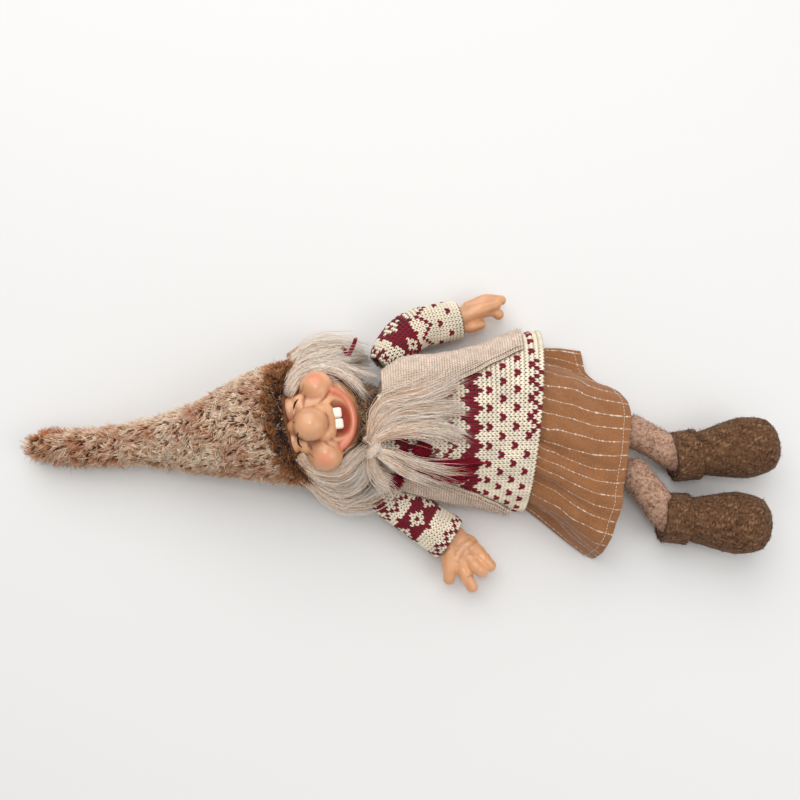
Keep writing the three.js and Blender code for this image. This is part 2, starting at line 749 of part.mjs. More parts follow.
function legLine(leg) {
  const hip = point(HIP_X, HIP_Y + (leg.side * HIP_SPREAD) / 2, HIP_HEIGHT);
  const knee = hip.clone().addScaledVector(heading(THIGH_YAW), THIGH_LENGTH).setZ(KNEE_HEIGHT);
  const ankle = knee.clone().addScaledVector(heading(leg.shinYaw), leg.shinLength).setZ(ANKLE_HEIGHT);
  const grip = ankle.clone().addScaledVector(heading(leg.bootYaw), FOOT_GRIP);
  return { hip, knee, ankle, grip };
}

function thigh(leg) {
  const { hip, knee } = legLine(leg);
  const end = knee.clone().lerp(hip, (KNEE_RADIUS + FIT) / THIGH_LENGTH);
  const stations = [
    { at: hip, wide: THIGH_RADIUS, deep: THIGH_RADIUS },
    { at: end, wide: KNEE_RADIUS, deep: KNEE_RADIUS },
  ];
  return sweep(stations, { count: 3, capStart: THIGH_RADIUS });
}

const SHIN_OPTIONS = { count: 6, capStart: KNEE_RADIUS, capEnd: FOOT_END };

function shinStations(leg) {
  const { knee, ankle, grip } = legLine(leg);
  return [
    { at: knee, wide: KNEE_RADIUS, deep: KNEE_RADIUS },
    { at: knee.clone().lerp(ankle, CALF_SHARE), wide: KNEE_RADIUS, deep: KNEE_RADIUS },
    { at: ankle, wide: ANKLE_RADIUS, deep: ANKLE_RADIUS },
    { at: grip, wide: ANKLE_RADIUS, deep: ANKLE_RADIUS },
  ];
}

function bootStations(leg, rows = BOOT_SHAPE) {
  const { ankle } = legLine(leg);
  return rows.map(([along, wide, deep, rise]) => ({
    at: ankle.clone().addScaledVector(heading(leg.bootYaw), along).setZ(BOOT_HEIGHT + rise),
    wide,
    deep,
  }));
}

const shinRoom = (leg) => solid(sweep(grown(shinStations(leg), FIT), {
  ...SHIN_OPTIONS,
  capEnd: SHIN_OPTIONS.capEnd + FIT,
}));

function boot(leg) {
  const shape = sweep(bootStations(leg), { count: 8, sides: BOOT_SIDES, capEnd: BOOT_TOE });
  return cut(shape, [shinRoom(leg)]);
}

function bootCuff(leg) {
  const start = BOOT_SHAPE[0][0];
  const rows = steps(start, start + CUFF_LENGTH, 3).map((d) => shapeAt(BOOT_SHAPE, d));
  const stations = bootStations(leg, rows);
  const layer = (by) => sweepRings(grown(stations, by), { count: 3, sides: BOOT_SIDES }).rings;
  const ring = loft([...layer(FIT + CUFF_WALL), ...layer(FIT).reverse()], { loop: true });
  return cut(ring, [shinRoom(leg)]);
}

for (const [name, leg] of Object.entries(LEGS)) {
  place(`thigh_${name}`, thigh(leg), LEG_FELT);
  place(`shin_${name}`, sweep(shinStations(leg), SHIN_OPTIONS), LEG_FELT);
  place(`boot_${name}`, boot(leg), BOOT_FELT);
  place(`boot_cuff_${name}`, bootCuff(leg), BOOT_FELT);
}

// Head, on the neck's axis
function headRing(distance, by = 0) {
  const radius = shapeAt(HEAD_SHAPE, distance)[1] + by;
  return turns(BODY_SIDES).map((angle) => point(
    NECK_X - distance,
    HEAD_Y - radius * Math.cos(angle),
    HEAD_HEIGHT + radius * Math.sin(angle),
  ));
}

function headBall(by = 0) {
  const stations = stationsOf(HEAD_SHAPE, FIT / 2 - by, HEAD_LENGTH - CROWN_ROUNDING);
  const crown = point(NECK_X - HEAD_LENGTH - by, HEAD_Y, HEAD_HEIGHT);
  return loft(stations.map((d) => headRing(d, by)), { tips: [undefined, crown] });
}

const HEAD_ROOM = solid(headBall(FIT));

place('head_ball', headBall(), DARK_PLUSH);

// Face mask: the oval with its balls and folds, less the head and the mouth
const FACE_MIDDLE = point(NECK_X - FACE_CENTRE, HEAD_Y, HEAD_HEIGHT);
const SIDES = [1, -1];
const round = (radius) => point(radius, radius, radius);

const onFace = (along, across, rise) =>
  point(along, across, rise).applyAxisAngle(point(0, 0, 1), radians(FACE_TURN)).add(FACE_MIDDLE);

function faceBall(at, size, segments) {
  const geometry = new THREE.SphereGeometry(1, segments, Math.round(segments * BALL_RINGS));
  geometry.rotateX(Math.PI / 2).scale(size.x, size.y, size.z).rotateZ(radians(FACE_TURN));
  return geometry.translate(at.x, at.y, at.z);
}

// The oval with its brows, at its own size or grown to give room to the hat's brim
function faceOval(by = 0) {
  const size = point(FACE_HALF_LENGTH + by, FACE_HALF_WIDTH + by, FACE_HALF_DEPTH + by);
  const brows = SIDES.map((side) =>
    faceBall(onFace(BROW.along, side * BROW.across, BROW.rise), round(BROW.radius + by), 10));
  return joined([faceBall(FACE_MIDDLE, size, 20), ...brows]);
}

function faceMask() {
  const nose = faceBall(onFace(NOSE.along, NOSE.across, NOSE.rise), round(NOSE.radius), 14);
  const cheeks = SIDES.map((side) =>
    faceBall(onFace(CHEEKS.along, side * CHEEKS.across, CHEEKS.rise), round(CHEEKS.radius), 12));
  const lipLine = steps(-LIP.sweep, LIP.sweep, 6).map((degrees) => ({
    at: onFace(
      MOUTH.along + LIP.reach * Math.cos(radians(degrees)),
      MOUTH.halfWidth * Math.sin(radians(degrees)),
      LIP.rise - (1 - Math.cos(radians(degrees))) * LIP.radius,
    ),
    wide: LIP.radius,
    deep: LIP.radius,
  }));
  const lip = sweep(lipLine, { count: 8, sides: 8, capStart: LIP.radius, capEnd: LIP.radius });
  const mouthSize = point(MOUTH.halfLength, MOUTH.halfWidth, MOUTH.depth);
  const mouth = faceBall(onFace(MOUTH.along, 0, MOUTH.rise), mouthSize, 14);
  const toothSize = point(TEETH.halfLength, TEETH.halfWidth, TEETH.halfDepth);
  const teeth = SIDES.map((side) =>
    faceBall(onFace(TEETH.along, side * TEETH.fromMiddle, TEETH.rise), toothSize, 8));
  const front = new THREE.BoxGeometry(4 * FACE_HALF_LENGTH, 4 * FACE_HALF_WIDTH, 4 * FACE_HALF_DEPTH);
  front.translate(FACE_MIDDLE.x, FACE_MIDDLE.y, FACE_MIDDLE.z + FACE_EDGE + 2 * FACE_HALF_DEPTH);
  const features = faceOval().add(joined([nose, ...cheeks, lip]));
  const mask = features.subtract(solid(mouth)).add(joined(teeth));
  return geometryOf(mask.intersect(solid(front)).subtract(HEAD_ROOM));
}

place('face_mask', faceMask(), SKIN);

// Hat
function hatRing(distance, by = 0) {
  const [, mid, height, wide, deep, slant, yaw] = shapeAt(HAT_SHAPE, distance);
  return turns(HAT_SIDES).map((angle) => {
    const across = -(wide + by) * Math.cos(angle);
    const rise = (deep + by) * Math.sin(angle);
    return point(BRIM_X - distance - slant * rise + yaw * across, mid + across, height + rise);
  });
}

function hatTip(by = 0) {
  const [, mid, height, wide, deep] = shapeAt(HAT_SHAPE, HAT_LENGTH);
  const angles = steps(0, Math.PI / 2, CAP_RINGS).slice(1, -1);
  const rings = angles.map((lift) => turns(HAT_SIDES).map((angle) => point(
    BRIM_X - HAT_LENGTH - (HAT_TIP + by) * Math.sin(lift),
    mid - (wide + by) * Math.cos(lift) * Math.cos(angle),
    height + (deep + by) * Math.cos(lift) * Math.sin(angle),
  )));
  return { rings, tip: point(BRIM_X - HAT_LENGTH - HAT_TIP - by, mid, height) };
}

function hatShell() {
  const stations = stationsOf(HAT_SHAPE, BRIM_WIDTH + FIT, HAT_LENGTH, true);
  const outerTip = hatTip();
  const innerTip = hatTip(-HAT_WALL);
  const outer = [...stations.map((d) => hatRing(d)), ...outerTip.rings];
  const inner = [...stations.map((d) => hatRing(d, -HAT_WALL)), ...innerTip.rings];
  return cut(loft([...inner.reverse(), ...outer], { tips: [innerTip.tip, outerTip.tip] }), [HEAD_ROOM]);
}

function hatBrim() {
  const stations = steps(0, BRIM_WIDTH, 3);
  const fullness = (d) => BRIM_FULLNESS * Math.sin((Math.PI * d) / BRIM_WIDTH) - BRIM_FULLNESS;
  const outer = stations.map((d) => hatRing(d, fullness(d)));
  const inner = stations.map((d) => hatRing(d, -HAT_WALL));
  return cut(loft([...outer, ...inner.reverse()], { loop: true }), [HEAD_ROOM, faceOval(FIT)]);
}

// The filling is in two lengths: the tip's starts as a ball round the bend, so that it can flop.
const STUFFING_OFFSET = -HAT_WALL - FIT;
const STUFFING_START = BRIM_X - NECK_X + HEAD_LENGTH - STUFFING_SEAT;
const BEND_RADIUS = shapeAt(HAT_SHAPE, HAT_BEND)[3] + STUFFING_OFFSET;

const stuffingRings = (from, to) =>
  stationsOf(HAT_SHAPE, from, to, true).map((d) => hatRing(d, STUFFING_OFFSET));

function hatStuffing() {
  return cut(loft(stuffingRings(STUFFING_START, HAT_BEND - BEND_RADIUS - FIT)), [HEAD_ROOM]);
}

function hatTipStuffing() {
  const rings = stuffingRings(HAT_BEND, HAT_LENGTH);
  const [, mid, height] = shapeAt(HAT_SHAPE, HAT_BEND);
  const bend = point(BRIM_X - HAT_BEND, mid, height);
  const ball = steps(Math.PI / 2, 0, CAP_RINGS).slice(1, -1).map((lift) => rings[0].map((edge) =>
    bend.clone().lerp(edge, Math.cos(lift)).add(point(BEND_RADIUS * Math.sin(lift), 0, 0))));
  const start = bend.clone().add(point(BEND_RADIUS, 0, 0));
  const end = hatTip(STUFFING_OFFSET);
  return loft([...ball, ...rings, ...end.rings], { tips: [start, end.tip] });
}

place('hat_shell', hatShell(), PLUSH);
place('hat_brim', hatBrim(), DARK_PLUSH);
place('hat_stuffing', hatStuffing(), WHITE_FILL);
place('hat_tip_stuffing', hatTipStuffing(), WHITE_FILL);

// Hair
const HAIR_LEFT_Y = HEAD_Y + HEAD_RADIUS + HAIR_LEFT_HALF_WIDTH - HAIR_TUCK;
const HAIR_RIGHT_Y = HEAD_Y - HEAD_RADIUS - HAIR_RIGHT_HALF_WIDTH + HAIR_TUCK;
const hankStations = (rows, y, z, halfWidth, halfDepth) => rows.map(([x, shift, lift, wide, deep]) => ({
  at: point(x, y + shift, z + lift),
  wide: halfWidth * wide,
  deep: halfDepth * deep,
}));
const LEFT_STATIONS =
  hankStations(LEFT_HANK, HAIR_LEFT_Y, HAIR_HEIGHT, HAIR_LEFT_HALF_WIDTH, HAIR_HALF_DEPTH);

// Yarn tie: a ring round the waist of the left hank with two loose ends, which presses a groove into the hair
const TIED = LEFT_STATIONS[2];
const TIE_HALF_WIDTH = TIED.wide + TIE_RADIUS + FIT;
const TIE_HALF_DEPTH = TIED.deep + TIE_RADIUS + FIT;

function tieRing(by = 0) {
  const radius = TIE_RADIUS + by;
  return loft(turns(18).map((angle) => {
    const outward = point(0, Math.cos(angle), Math.sin(angle));
    const centre = TIED.at.clone().add(point(0, TIE_HALF_WIDTH * outward.y, TIE_HALF_DEPTH * outward.z));
    return turns(6).map((turn) => centre.clone()
      .addScaledVector(point(1, 0, 0), radius * Math.cos(turn))
      .addScaledVector(outward, radius * Math.sin(turn)));
  }), { loop: true });
}

function hairTie() {
  const from = TIED.at.clone().add(point(0, TIE_HALF_WIDTH, 0));
  const radius = TIE_RADIUS - FIT;
  const ends = TIE_END_LEANS.map((lean) => {
    const to = from.clone().add(point(lean, TIE_END, -lean * TIE_END_DROP));
    const line = [from, to].map((at) => ({ at, wide: radius, deep: radius }));
    return sweep(line, { count: 1, sides: 6, capEnd: radius });
  });
  return geometryOf(joined([tieRing(), ...ends]));
}

function hairLeft() {
  const hank = sweep(LEFT_STATIONS, { count: 6, capStart: HANK_END, capEnd: HANK_END });
  return cut(hank, [HEAD_ROOM, solid(tieRing(FIT))]);
}

function hairRight() {
  const stations =
    hankStations(RIGHT_HANK, HAIR_RIGHT_Y, HAIR_HEIGHT, HAIR_RIGHT_HALF_WIDTH, HAIR_HALF_DEPTH);
  return cut(sweep(stations, { count: 7, capStart: HANK_END, capEnd: HANK_END / 2 }), [HEAD_ROOM]);
}

function hairKnot() {
  const stations = hankStations(KNOT_SHAPE, KNOT_Y, KNOT_HEIGHT, KNOT_RADIUS, KNOT_RADIUS);
  return cut(sweep(stations, { count: 4, capStart: KNOT_END, capEnd: KNOT_END }), [HEAD_ROOM]);
}

const ON_VEST = VEST_EASE + VEST_WALL + FIT;

// A lock lies on the cloth below it, with its middle at the given lift over the sweater.
function chestLock(rows, lift, deep = LOCK_HALF_DEPTH) {
  const stations = rows.map(([x, y, wide]) => ({
    at: point(x, y, sweaterHeight(x, y) + lift),
    wide,
    deep,
  }));
  return sweep(stations, { count: 7, sides: 10, capStart: LOCK_ROOT, capEnd: LOCK_TIP });
}

place('hair_left', hairLeft(), HAIR);
place('hair_right', hairRight(), HAIR);
place('hair_knot', hairKnot(), HAIR);
place('hair_tail_upper', chestLock(UPPER_LOCK, FIT + UPPER_SETTLE), HAIR);
place('hair_tail_lower', chestLock(LOWER_LOCK, ON_VEST + LOWER_SETTLE), HAIR);

place('hair_tie', hairTie(), MAROON);
place('yarn_tassel', chestLock(TASSEL, ON_VEST + TASSEL_SETTLE, TASSEL_HALF_DEPTH), MAROON);
place('yarn_tuft', chestLock(TUFT, ON_VEST + TUFT_SETTLE, TUFT_HALF_DEPTH), MAROON);

export default doll;
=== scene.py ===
"""Looks of the lying elf doll: plush hat, cast face, mohair, knitted clothes, striped skirt, felt boots."""

import json
import math
from typing import NamedTuple

import bpy
import numpy as np
from bpy.props import FloatProperty, FloatVectorProperty, IntProperty, PointerProperty
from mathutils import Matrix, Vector
from mathutils.bvhtree import BVHTree


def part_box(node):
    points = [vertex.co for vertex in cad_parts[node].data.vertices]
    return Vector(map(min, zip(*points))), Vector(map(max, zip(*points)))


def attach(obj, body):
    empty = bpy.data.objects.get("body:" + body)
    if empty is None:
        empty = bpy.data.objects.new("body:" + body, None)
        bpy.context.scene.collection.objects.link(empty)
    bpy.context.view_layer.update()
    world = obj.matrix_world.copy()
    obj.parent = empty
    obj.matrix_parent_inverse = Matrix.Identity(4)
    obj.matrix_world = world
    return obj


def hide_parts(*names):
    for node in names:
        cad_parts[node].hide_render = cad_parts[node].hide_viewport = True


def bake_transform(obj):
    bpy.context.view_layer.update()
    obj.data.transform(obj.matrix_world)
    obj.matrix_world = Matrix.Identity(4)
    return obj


bl_info = {
    "name": "Elf Doll Looks",
    "version": (1, 0, 0),
    "blender": (4, 5, 0),
    "location": "View3D > Sidebar > Elf Doll",
    "description": "Builds the visible pieces of the elf doll on its solid frame",
    "category": "Object",
}

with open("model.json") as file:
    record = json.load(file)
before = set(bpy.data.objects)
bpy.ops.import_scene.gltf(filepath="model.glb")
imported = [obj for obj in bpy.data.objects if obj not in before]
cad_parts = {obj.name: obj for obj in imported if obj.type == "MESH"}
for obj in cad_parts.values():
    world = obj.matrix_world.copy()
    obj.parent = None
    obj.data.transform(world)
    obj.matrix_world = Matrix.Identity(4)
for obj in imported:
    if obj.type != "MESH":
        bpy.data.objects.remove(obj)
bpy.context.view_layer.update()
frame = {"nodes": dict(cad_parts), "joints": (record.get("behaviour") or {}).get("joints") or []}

# Shapes below are in millimetres in the doll's frame: +X toward the feet, +Y toward its left hand, +Z up.
MM = 0.001
UP = np.array([0.0, 0.0, 1.0])
FULL_TURN = 2 * math.pi
SEED = 7


def colour(red, green, blue):
    """Linear colour of a screen colour given from 0 to 255."""
    shares = np.array([red, green, blue]) / 255
    return np.where(shares <= 0.04045, shares / 12.92, ((shares + 0.055) / 1.055) ** 2.4)


# Side tones; the main colours are in the settings
BLUSH = colour(228, 116, 90)
LIP = colour(208, 104, 76)
MOUTH = colour(164, 70, 52)
# Painted shade laid into the hollows of the face
HOLLOW_SHADE = colour(136, 70, 44)
TOOTH = colour(246, 240, 228)
EYE_LINE = colour(46, 27, 24)
# Painted shade of the gaps between the sweater's and sleeves' stitches, laid on the cloth beneath them
KNIT_GAP_SHADE = colour(132, 108, 84)
# Painted shade of the gaps between the vest's stitches, laid on the cloth beneath them
VEST_GAP_SHADE = colour(146, 122, 98)
HAT_ROOT = colour(118, 76, 48)
HAT_RUST = colour(188, 120, 76)
HAT_GREY = colour(226, 188, 154)
HAT_TIP = colour(255, 238, 214)
BRIM_DARK = colour(60, 31, 16)
BRIM_LIGHT = colour(206, 138, 86)
COLLAR_DARK = colour(82, 53, 35)
COLLAR_LIGHT = colour(216, 180, 144)
HAIR_SHADE = colour(186, 144, 110)
HAIR_MID = colour(248, 220, 194)
HAIR_LIGHT = colour(255, 249, 240)
COTTON_DARK = colour(134, 87, 51)
LEG_FLECK = colour(134, 96, 74)
BOOT_LIGHT = colour(150, 114, 86)
BOOT_DARK = colour(66, 43, 28)
CALICO = colour(226, 218, 202)
FILLING = colour(236, 234, 228)


def chosen(name):
    """Main colour that the settings hold."""
    return np.array(getattr(bpy.context.scene.elf.colours, name))


# Lines and grids
CURVE_STEPS = 24


def unit(vectors):
    """Vectors of length one."""
    return vectors / np.maximum(np.linalg.norm(vectors, axis=-1, keepdims=True), 1e-9)


def mottle(points, size, seed, waves=28):
    """Soft random field of about unit spread, with patches of the given size."""
    pick = np.random.default_rng(seed)
    ways = pick.normal(size=(waves, 3)) * 2 / size
    shifts = pick.uniform(0, FULL_TURN, waves)
    return np.cos(points @ ways.T + shifts).sum(axis=-1) / math.sqrt(waves / 2)


def mixed(low, high, share):
    """Colours between two, for shares that are cut to the range 0 to 1."""
    share = np.clip(share, 0, 1)[..., None]
    return low * (1 - share) + high * share


def lengths_along(line):
    """Length along a line up to each of its points."""
    return np.concatenate([[0], np.cumsum(np.linalg.norm(np.diff(line, axis=0), axis=1))])


def at_stops(stops, run, values):
    """Rows of values at stops, read between the rows known along a run."""
    return np.stack([np.interp(stops, run, values[:, k]) for k in range(values.shape[1])], axis=-1)


def turns(count):
    """Angles evenly spaced round a full turn."""
    return np.arange(count) * FULL_TURN / count


def evenly(line, count):
    """Evenly spaced places along a line."""
    run = lengths_along(line)
    return at_stops(np.linspace(0, run[-1], count), run, line)


def smooth_line(places, count):
    """Points evenly spaced along a smooth curve through places."""
    places = np.asarray(places, float)
    ends = np.concatenate([[2 * places[0] - places[1]], places, [2 * places[-1] - places[-2]]])
    share = np.linspace(0, 1, CURVE_STEPS, endpoint=False)[:, None]
    drawn = []
    for k in range(len(places) - 1):
        a, b, c, d = ends[k:k + 4]
        drawn.append(0.5 * (2 * b + (c - a) * share + (2 * a - 5 * b + 4 * c - d) * share**2
                            + (3 * b - a - 3 * c + d) * share**3))
    return evenly(np.concatenate([*drawn, places[-1:]]), count)


def flat_curve(places, count):
    """Smooth curve through places that have no height."""
    return smooth_line([(*place, 0.0) for place in places], count)[:, :2]


def grid_faces(rows, columns, wrap):
    """Quads of a grid of points, closed round its columns where it wraps."""
    across = np.arange(columns if wrap else columns - 1)
    down = np.arange(rows - 1)[:, None] * columns
    beside = (across + 1) % columns
    corners = [down + across, down + beside, down + beside + columns, down + across + columns]
    return np.stack(corners, axis=-1).reshape(-1, 4)


def grid_normals(grid, wrap):
    """Unit normals of a grid of points."""
    down = np.gradient(grid, axis=0)
    if wrap:
        across = np.roll(grid, -1, axis=1) - np.roll(grid, 1, axis=1)
    else:
        across = np.gradient(grid, axis=1)
    return unit(np.cross(across, down))


def arc_lengths(grid):
    """Lengths along each row of a grid, from its first column."""
    return np.array([lengths_along(row) for row in grid])


def eased(grid, times):
    """Grid closed round its columns with its corners rounded off, ends kept."""
    for _ in range(times):
        grid = (np.roll(grid, 1, axis=1) + 2 * grid + np.roll(grid, -1, axis=1)) / 4
        inner = (grid[:-2] + 2 * grid[1:-1] + grid[2:]) / 4
        grid = np.concatenate([grid[:1], inner, grid[-1:]])
    return grid


def shell(grid, wall, wrap):
    """Points and faces of a closed cloth that has the grid as its outside."""
    rows, columns, _ = grid.shape
    count = rows * columns
    inner = grid - wall * grid_normals(grid, wrap)
    points = np.concatenate([grid.reshape(-1, 3), inner.reshape(-1, 3)])
    outside = grid_faces(rows, columns, wrap)
    inside = outside[:, ::-1] + count
    order = np.arange(count).reshape(rows, columns)
    rims = [order[0], order[-1][::-1]]
    if not wrap:
        rims += [order[:, 0][::-1], order[:, -1]]
    edges = []
    for rim in rims:
        ahead = np.roll(rim, -1) if wrap else rim[1:]
        here = rim if wrap else rim[:-1]
        edges.append(np.stack([ahead, here, here + count, ahead + count], axis=-1))
    return points, [np.concatenate([outside, inside, *edges])]


# Meshes
STEEP = 0.8


def mesh_object(name, points, faces, tints):
    """Smooth object from points, groups of faces and a colour for each point or for all."""
    mesh = bpy.data.meshes.new(name)
    groups = [np.asarray(group) for group in faces if len(group)]
    sizes = np.concatenate([np.full(len(group), group.shape[1]) for group in groups])
    corners = np.concatenate([group.ravel() for group in groups])
    mesh.vertices.add(len(points))
    mesh.vertices.foreach_set("co", (np.asarray(points, float) * MM).ravel())
    mesh.loops.add(len(corners))
    mesh.loops.foreach_set("vertex_index", corners.astype(np.int32))
    mesh.polygons.add(len(sizes))
    mesh.polygons.foreach_set("loop_start", (np.cumsum(sizes) - sizes).astype(np.int32))
    mesh.update(calc_edges=True)
    mesh.shade_smooth()
    made = bpy.data.objects.new(name, mesh)
    bpy.context.scene.collection.objects.link(made)
    paint(made, tints)
    return made


def paint(piece, tints):
    """Stores a colour for each point of a piece, or one for all."""
    mesh = piece.data
    shades = np.ones((len(mesh.vertices), 4))
    shades[:, :3] = np.clip(tints, 0, 1)
    layer = mesh.color_attributes.get("tint") or mesh.color_attributes.new("tint", "FLOAT_COLOR", "POINT")
    layer.data.foreach_set("color", shades.ravel())


def move_points(piece, points):
    """Puts the points of a piece in new places."""
    piece.data.vertices.foreach_set("co", (points * MM).ravel())
    piece.data.update()


def surface_of(piece):
    """Points, point normals and triangles of a piece."""
    mesh = piece.data
    mesh.calc_loop_triangles()
    points = np.empty(len(mesh.vertices) * 3)
    mesh.vertices.foreach_get("co", points)
    normals = np.empty(len(mesh.vertices) * 3)
    mesh.vertex_normals.foreach_get("vector", normals)
    triangles = np.empty(len(mesh.loop_triangles) * 3, np.int32)
    mesh.loop_triangles.foreach_get("vertices", triangles)
    return points.reshape(-1, 3) / MM, normals.reshape(-1, 3), triangles.reshape(-1, 3)


def scatter(surface, count, pick, keep=None):
    """Random places on a surface, evenly by area or by a weight, with their normals."""
    points, normals, triangles = surface
    corners = points[triangles]
    edges = corners[:, 1:] - corners[:, :1]
    areas = np.linalg.norm(np.cross(edges[:, 0], edges[:, 1]), axis=1)
    if keep is not None:
        areas = areas * keep(corners.mean(axis=1))
    picked = pick.choice(len(triangles), count, p=areas / areas.sum())
    first, second = pick.random((2, count))
    over = first + second > 1
    first[over], second[over] = 1 - first[over], 1 - second[over]
    shares = np.stack([1 - first - second, first, second], axis=1)[..., None]
    places = (corners[picked] * shares).sum(axis=1)
    return places, unit((normals[triangles[picked]] * shares).sum(axis=1))


def tubes(lines, radii, sides):
    """Points and faces of closed tapering tubes along lines (n, s, 3); each ends in a point."""
    count, steps, _ = lines.shape
    along = unit(np.gradient(lines, axis=1))
    steep = np.abs(along[:, :, 2]).mean(axis=1) > STEEP
    helper = np.where(steep[:, None], [1.0, 0.0, 0.0], UP)[:, None]
    side = unit(np.cross(along, helper))
    lift = np.cross(side, along)
    turn = turns(sides)[:, None]
    ring = np.cos(turn) * side[:, :-1, None] + np.sin(turn) * lift[:, :-1, None]
    rings = lines[:, :-1, None] + np.broadcast_to(radii, (count, steps - 1))[..., None, None] * ring
    points = np.concatenate([rings.reshape(count, -1, 3), lines[:, -1:]], axis=1)
    around = np.arange(sides)
    beside = (around + 1) % sides
    rows = np.arange(steps - 2)[:, None] * sides
    quads = np.stack([rows + beside, rows + around, rows + around + sides, rows + beside + sides], axis=-1)
    top = (steps - 2) * sides
    tip = np.stack([top + beside, top + around, np.full(sides, top + sides)], axis=-1)
    root = np.array([[0, k + 1, k + 2] for k in range(sides - 2)])
    starts = (np.arange(count) * points.shape[1])[:, None, None]
    faces = [
        (np.concatenate([tip, root]) + starts).reshape(-1, 3),
        (quads.reshape(-1, 4) + starts).reshape(-1, 4),
    ]
    return points.reshape(-1, 3), faces


def tube_object(name, lines, radii, tints, sides=3):
    """Object of tapering tubes with a colour at each point of each line."""
    points, faces = tubes(lines, radii, sides)
    tints = np.broadcast_to(tints, lines.shape)
    shades = np.concatenate([np.repeat(tints[:, :-1], sides, axis=1), tints[:, -1:]], axis=1)
    return mesh_object(name, points, faces, shades.reshape(-1, 3))


# Fibres
# How a fibre of pile bends toward its end: along the nap, toward the cloth, with its own stray
PILE_BEND = (0.35, 0.1, 0.6)
PILE_REST = 0.4
TUFT_BLUR = 0.14
FUZZ_SINK = 0.2
FUZZ_LEAN = 1.15
FUZZ_RADII = np.array([0.12, 0.1])


def tufts_of(roots, size, pick):
    """Number of the tuft that each root belongs to, for tufts of about a size."""
    cells = np.floor(roots / size + pick.normal(scale=TUFT_BLUR, size=roots.shape)).astype(int)
    return np.unique(cells, axis=0, return_inverse=True)[1].ravel()


def pile(roots, normals, nap, lengths, lean, pick, tuft=None, sway=0.0, pull=0.5, stray=0.25, steps=4):
    """Lines of pile that leave a cloth, lean over along its nap, gather in tufts and stay above the table."""
    if tuft is not None:
        nap = nap + sway * pick.normal(size=(tuft.max() + 1, 3))[tuft]
    nap = unit(nap - normals * (nap * normals).sum(axis=1, keepdims=True))
    strays = pick.normal(scale=stray, size=roots.shape)
    away = unit(normals * math.cos(lean) + nap * math.sin(lean) + strays)
    share = np.linspace(0, 1, steps)[None, :, None]
    bend = PILE_BEND[0] * nap - PILE_BEND[1] * normals + PILE_BEND[2] * strays
    lines = roots[:, None] + lengths[:, None, None] * (share * away[:, None] + share**2 * bend[:, None])
    if tuft is not None:
        tips = lines[:, -1]
        sums = np.stack([np.bincount(tuft, tips[:, k]) for k in range(3)], axis=1)
        middles = sums / np.bincount(tuft)[:, None]
        lines = lines + pull * share**1.5 * (middles[tuft] - tips)[:, None]
    lines[:, :, 2] = np.maximum(lines[:, :, 2], PILE_REST)
    return lines


def fuzz(name, piece, count, length, tints, seed, keep=None):
    """Short loose fibres that stand off a piece."""
    pick = np.random.default_rng(seed)
    roots, normals = scatter(surface_of(piece), count, pick, keep)
    ways = pick.normal(size=(count, 3))
    lengths = length * pick.uniform(0.5, 1.3, count)
    lines = pile(roots - FUZZ_SINK * normals, normals, ways, lengths, FUZZ_LEAN, pick, stray=0.4, steps=3)
    shades = np.array(tints)[pick.integers(0, len(tints), count)][:, None]
    return tube_object(name, lines, FUZZ_RADII, shades)


# Modelling with operators
WELD_GAP = 0.02
SMOOTHING = 0.5


def pick_out(*pieces):
    """Selects pieces alone and makes the first one active."""
    bpy.ops.object.select_all(action="DESELECT")
    for piece in pieces:
        piece.select_set(True)
    bpy.context.view_layer.objects.active = pieces[0]


def modify(piece, kind, **settings):
    """Adds a modifier to the active piece, sets it and applies it."""
    bpy.ops.object.modifier_add(type=kind)
    modifier = piece.modifiers[-1]
    for key, value in settings.items():
        setattr(modifier, key, value)
    bpy.ops.object.modifier_apply(modifier=modifier.name)


def add_ball(at, half, turn=0.0, segments=32):
    """Adds a ball or an oval at its place and size."""
    bpy.ops.mesh.primitive_uv_sphere_add(
        segments=segments, ring_count=segments // 2, radius=1.0, location=np.asarray(at) * MM,
        rotation=(0, 0, turn), scale=np.asarray(half) * MM)
    return bpy.context.object


def join_all(pieces, name):
    """Joins pieces into one with its transform applied."""
    pick_out(*pieces)
    if len(pieces) > 1:
        bpy.ops.object.join()
    pieces[0].name = name
    bpy.ops.object.transform_apply(location=True, rotation=True, scale=True)
    return pieces[0]


def carve(piece, cutter):
    """Cuts one piece out of another."""
    pick_out(piece)
    modify(piece, "BOOLEAN", operation="DIFFERENCE", object=cutter)
    bpy.data.objects.remove(cutter)


def round_off(piece, voxel, smooth, swell=0.0):
    """Blends the active piece into one skin of even faces."""
    modify(piece, "WELD", merge_threshold=WELD_GAP * MM)
    modify(piece, "REMESH", mode="VOXEL", voxel_size=voxel * MM)
    modify(piece, "SMOOTH", iterations=smooth, factor=SMOOTHING)
    if swell:
        modify(piece, "DISPLACE", strength=swell * MM, mid_level=0)
    piece.data.shade_smooth()


def soft_copy(name, nodes, voxel, smooth, swell=0.0, ball=None):
    """Rounded piece grown from copies of solids and a ball that joins them."""
    copies = []
    for node in nodes:
        solid = frame["nodes"][node]
        copy = bpy.data.objects.new(name, solid.data.copy())
        bpy.context.scene.collection.objects.link(copy)
        copy.matrix_world = solid.matrix_world
        copy.data.materials.clear()
        copies.append(copy)
    if ball:
        copies.append(add_ball(*ball))
    piece = join_all(copies, name)
    round_off(piece, voxel, smooth, swell)
    return piece


# Solids of the frame
def ray_tree(*names):
    """Tree for casting rays at solids of the frame."""
    points = []
    faces = []
    for name in names:
        solid = frame["nodes"][name]
        start = len(points)
        points += [tuple(solid.matrix_world @ vertex.co / MM) for vertex in solid.data.vertices]
        faces += [tuple(start + k for k in face.vertices) for face in solid.data.polygons]
    return BVHTree.FromPolygons(points, faces)


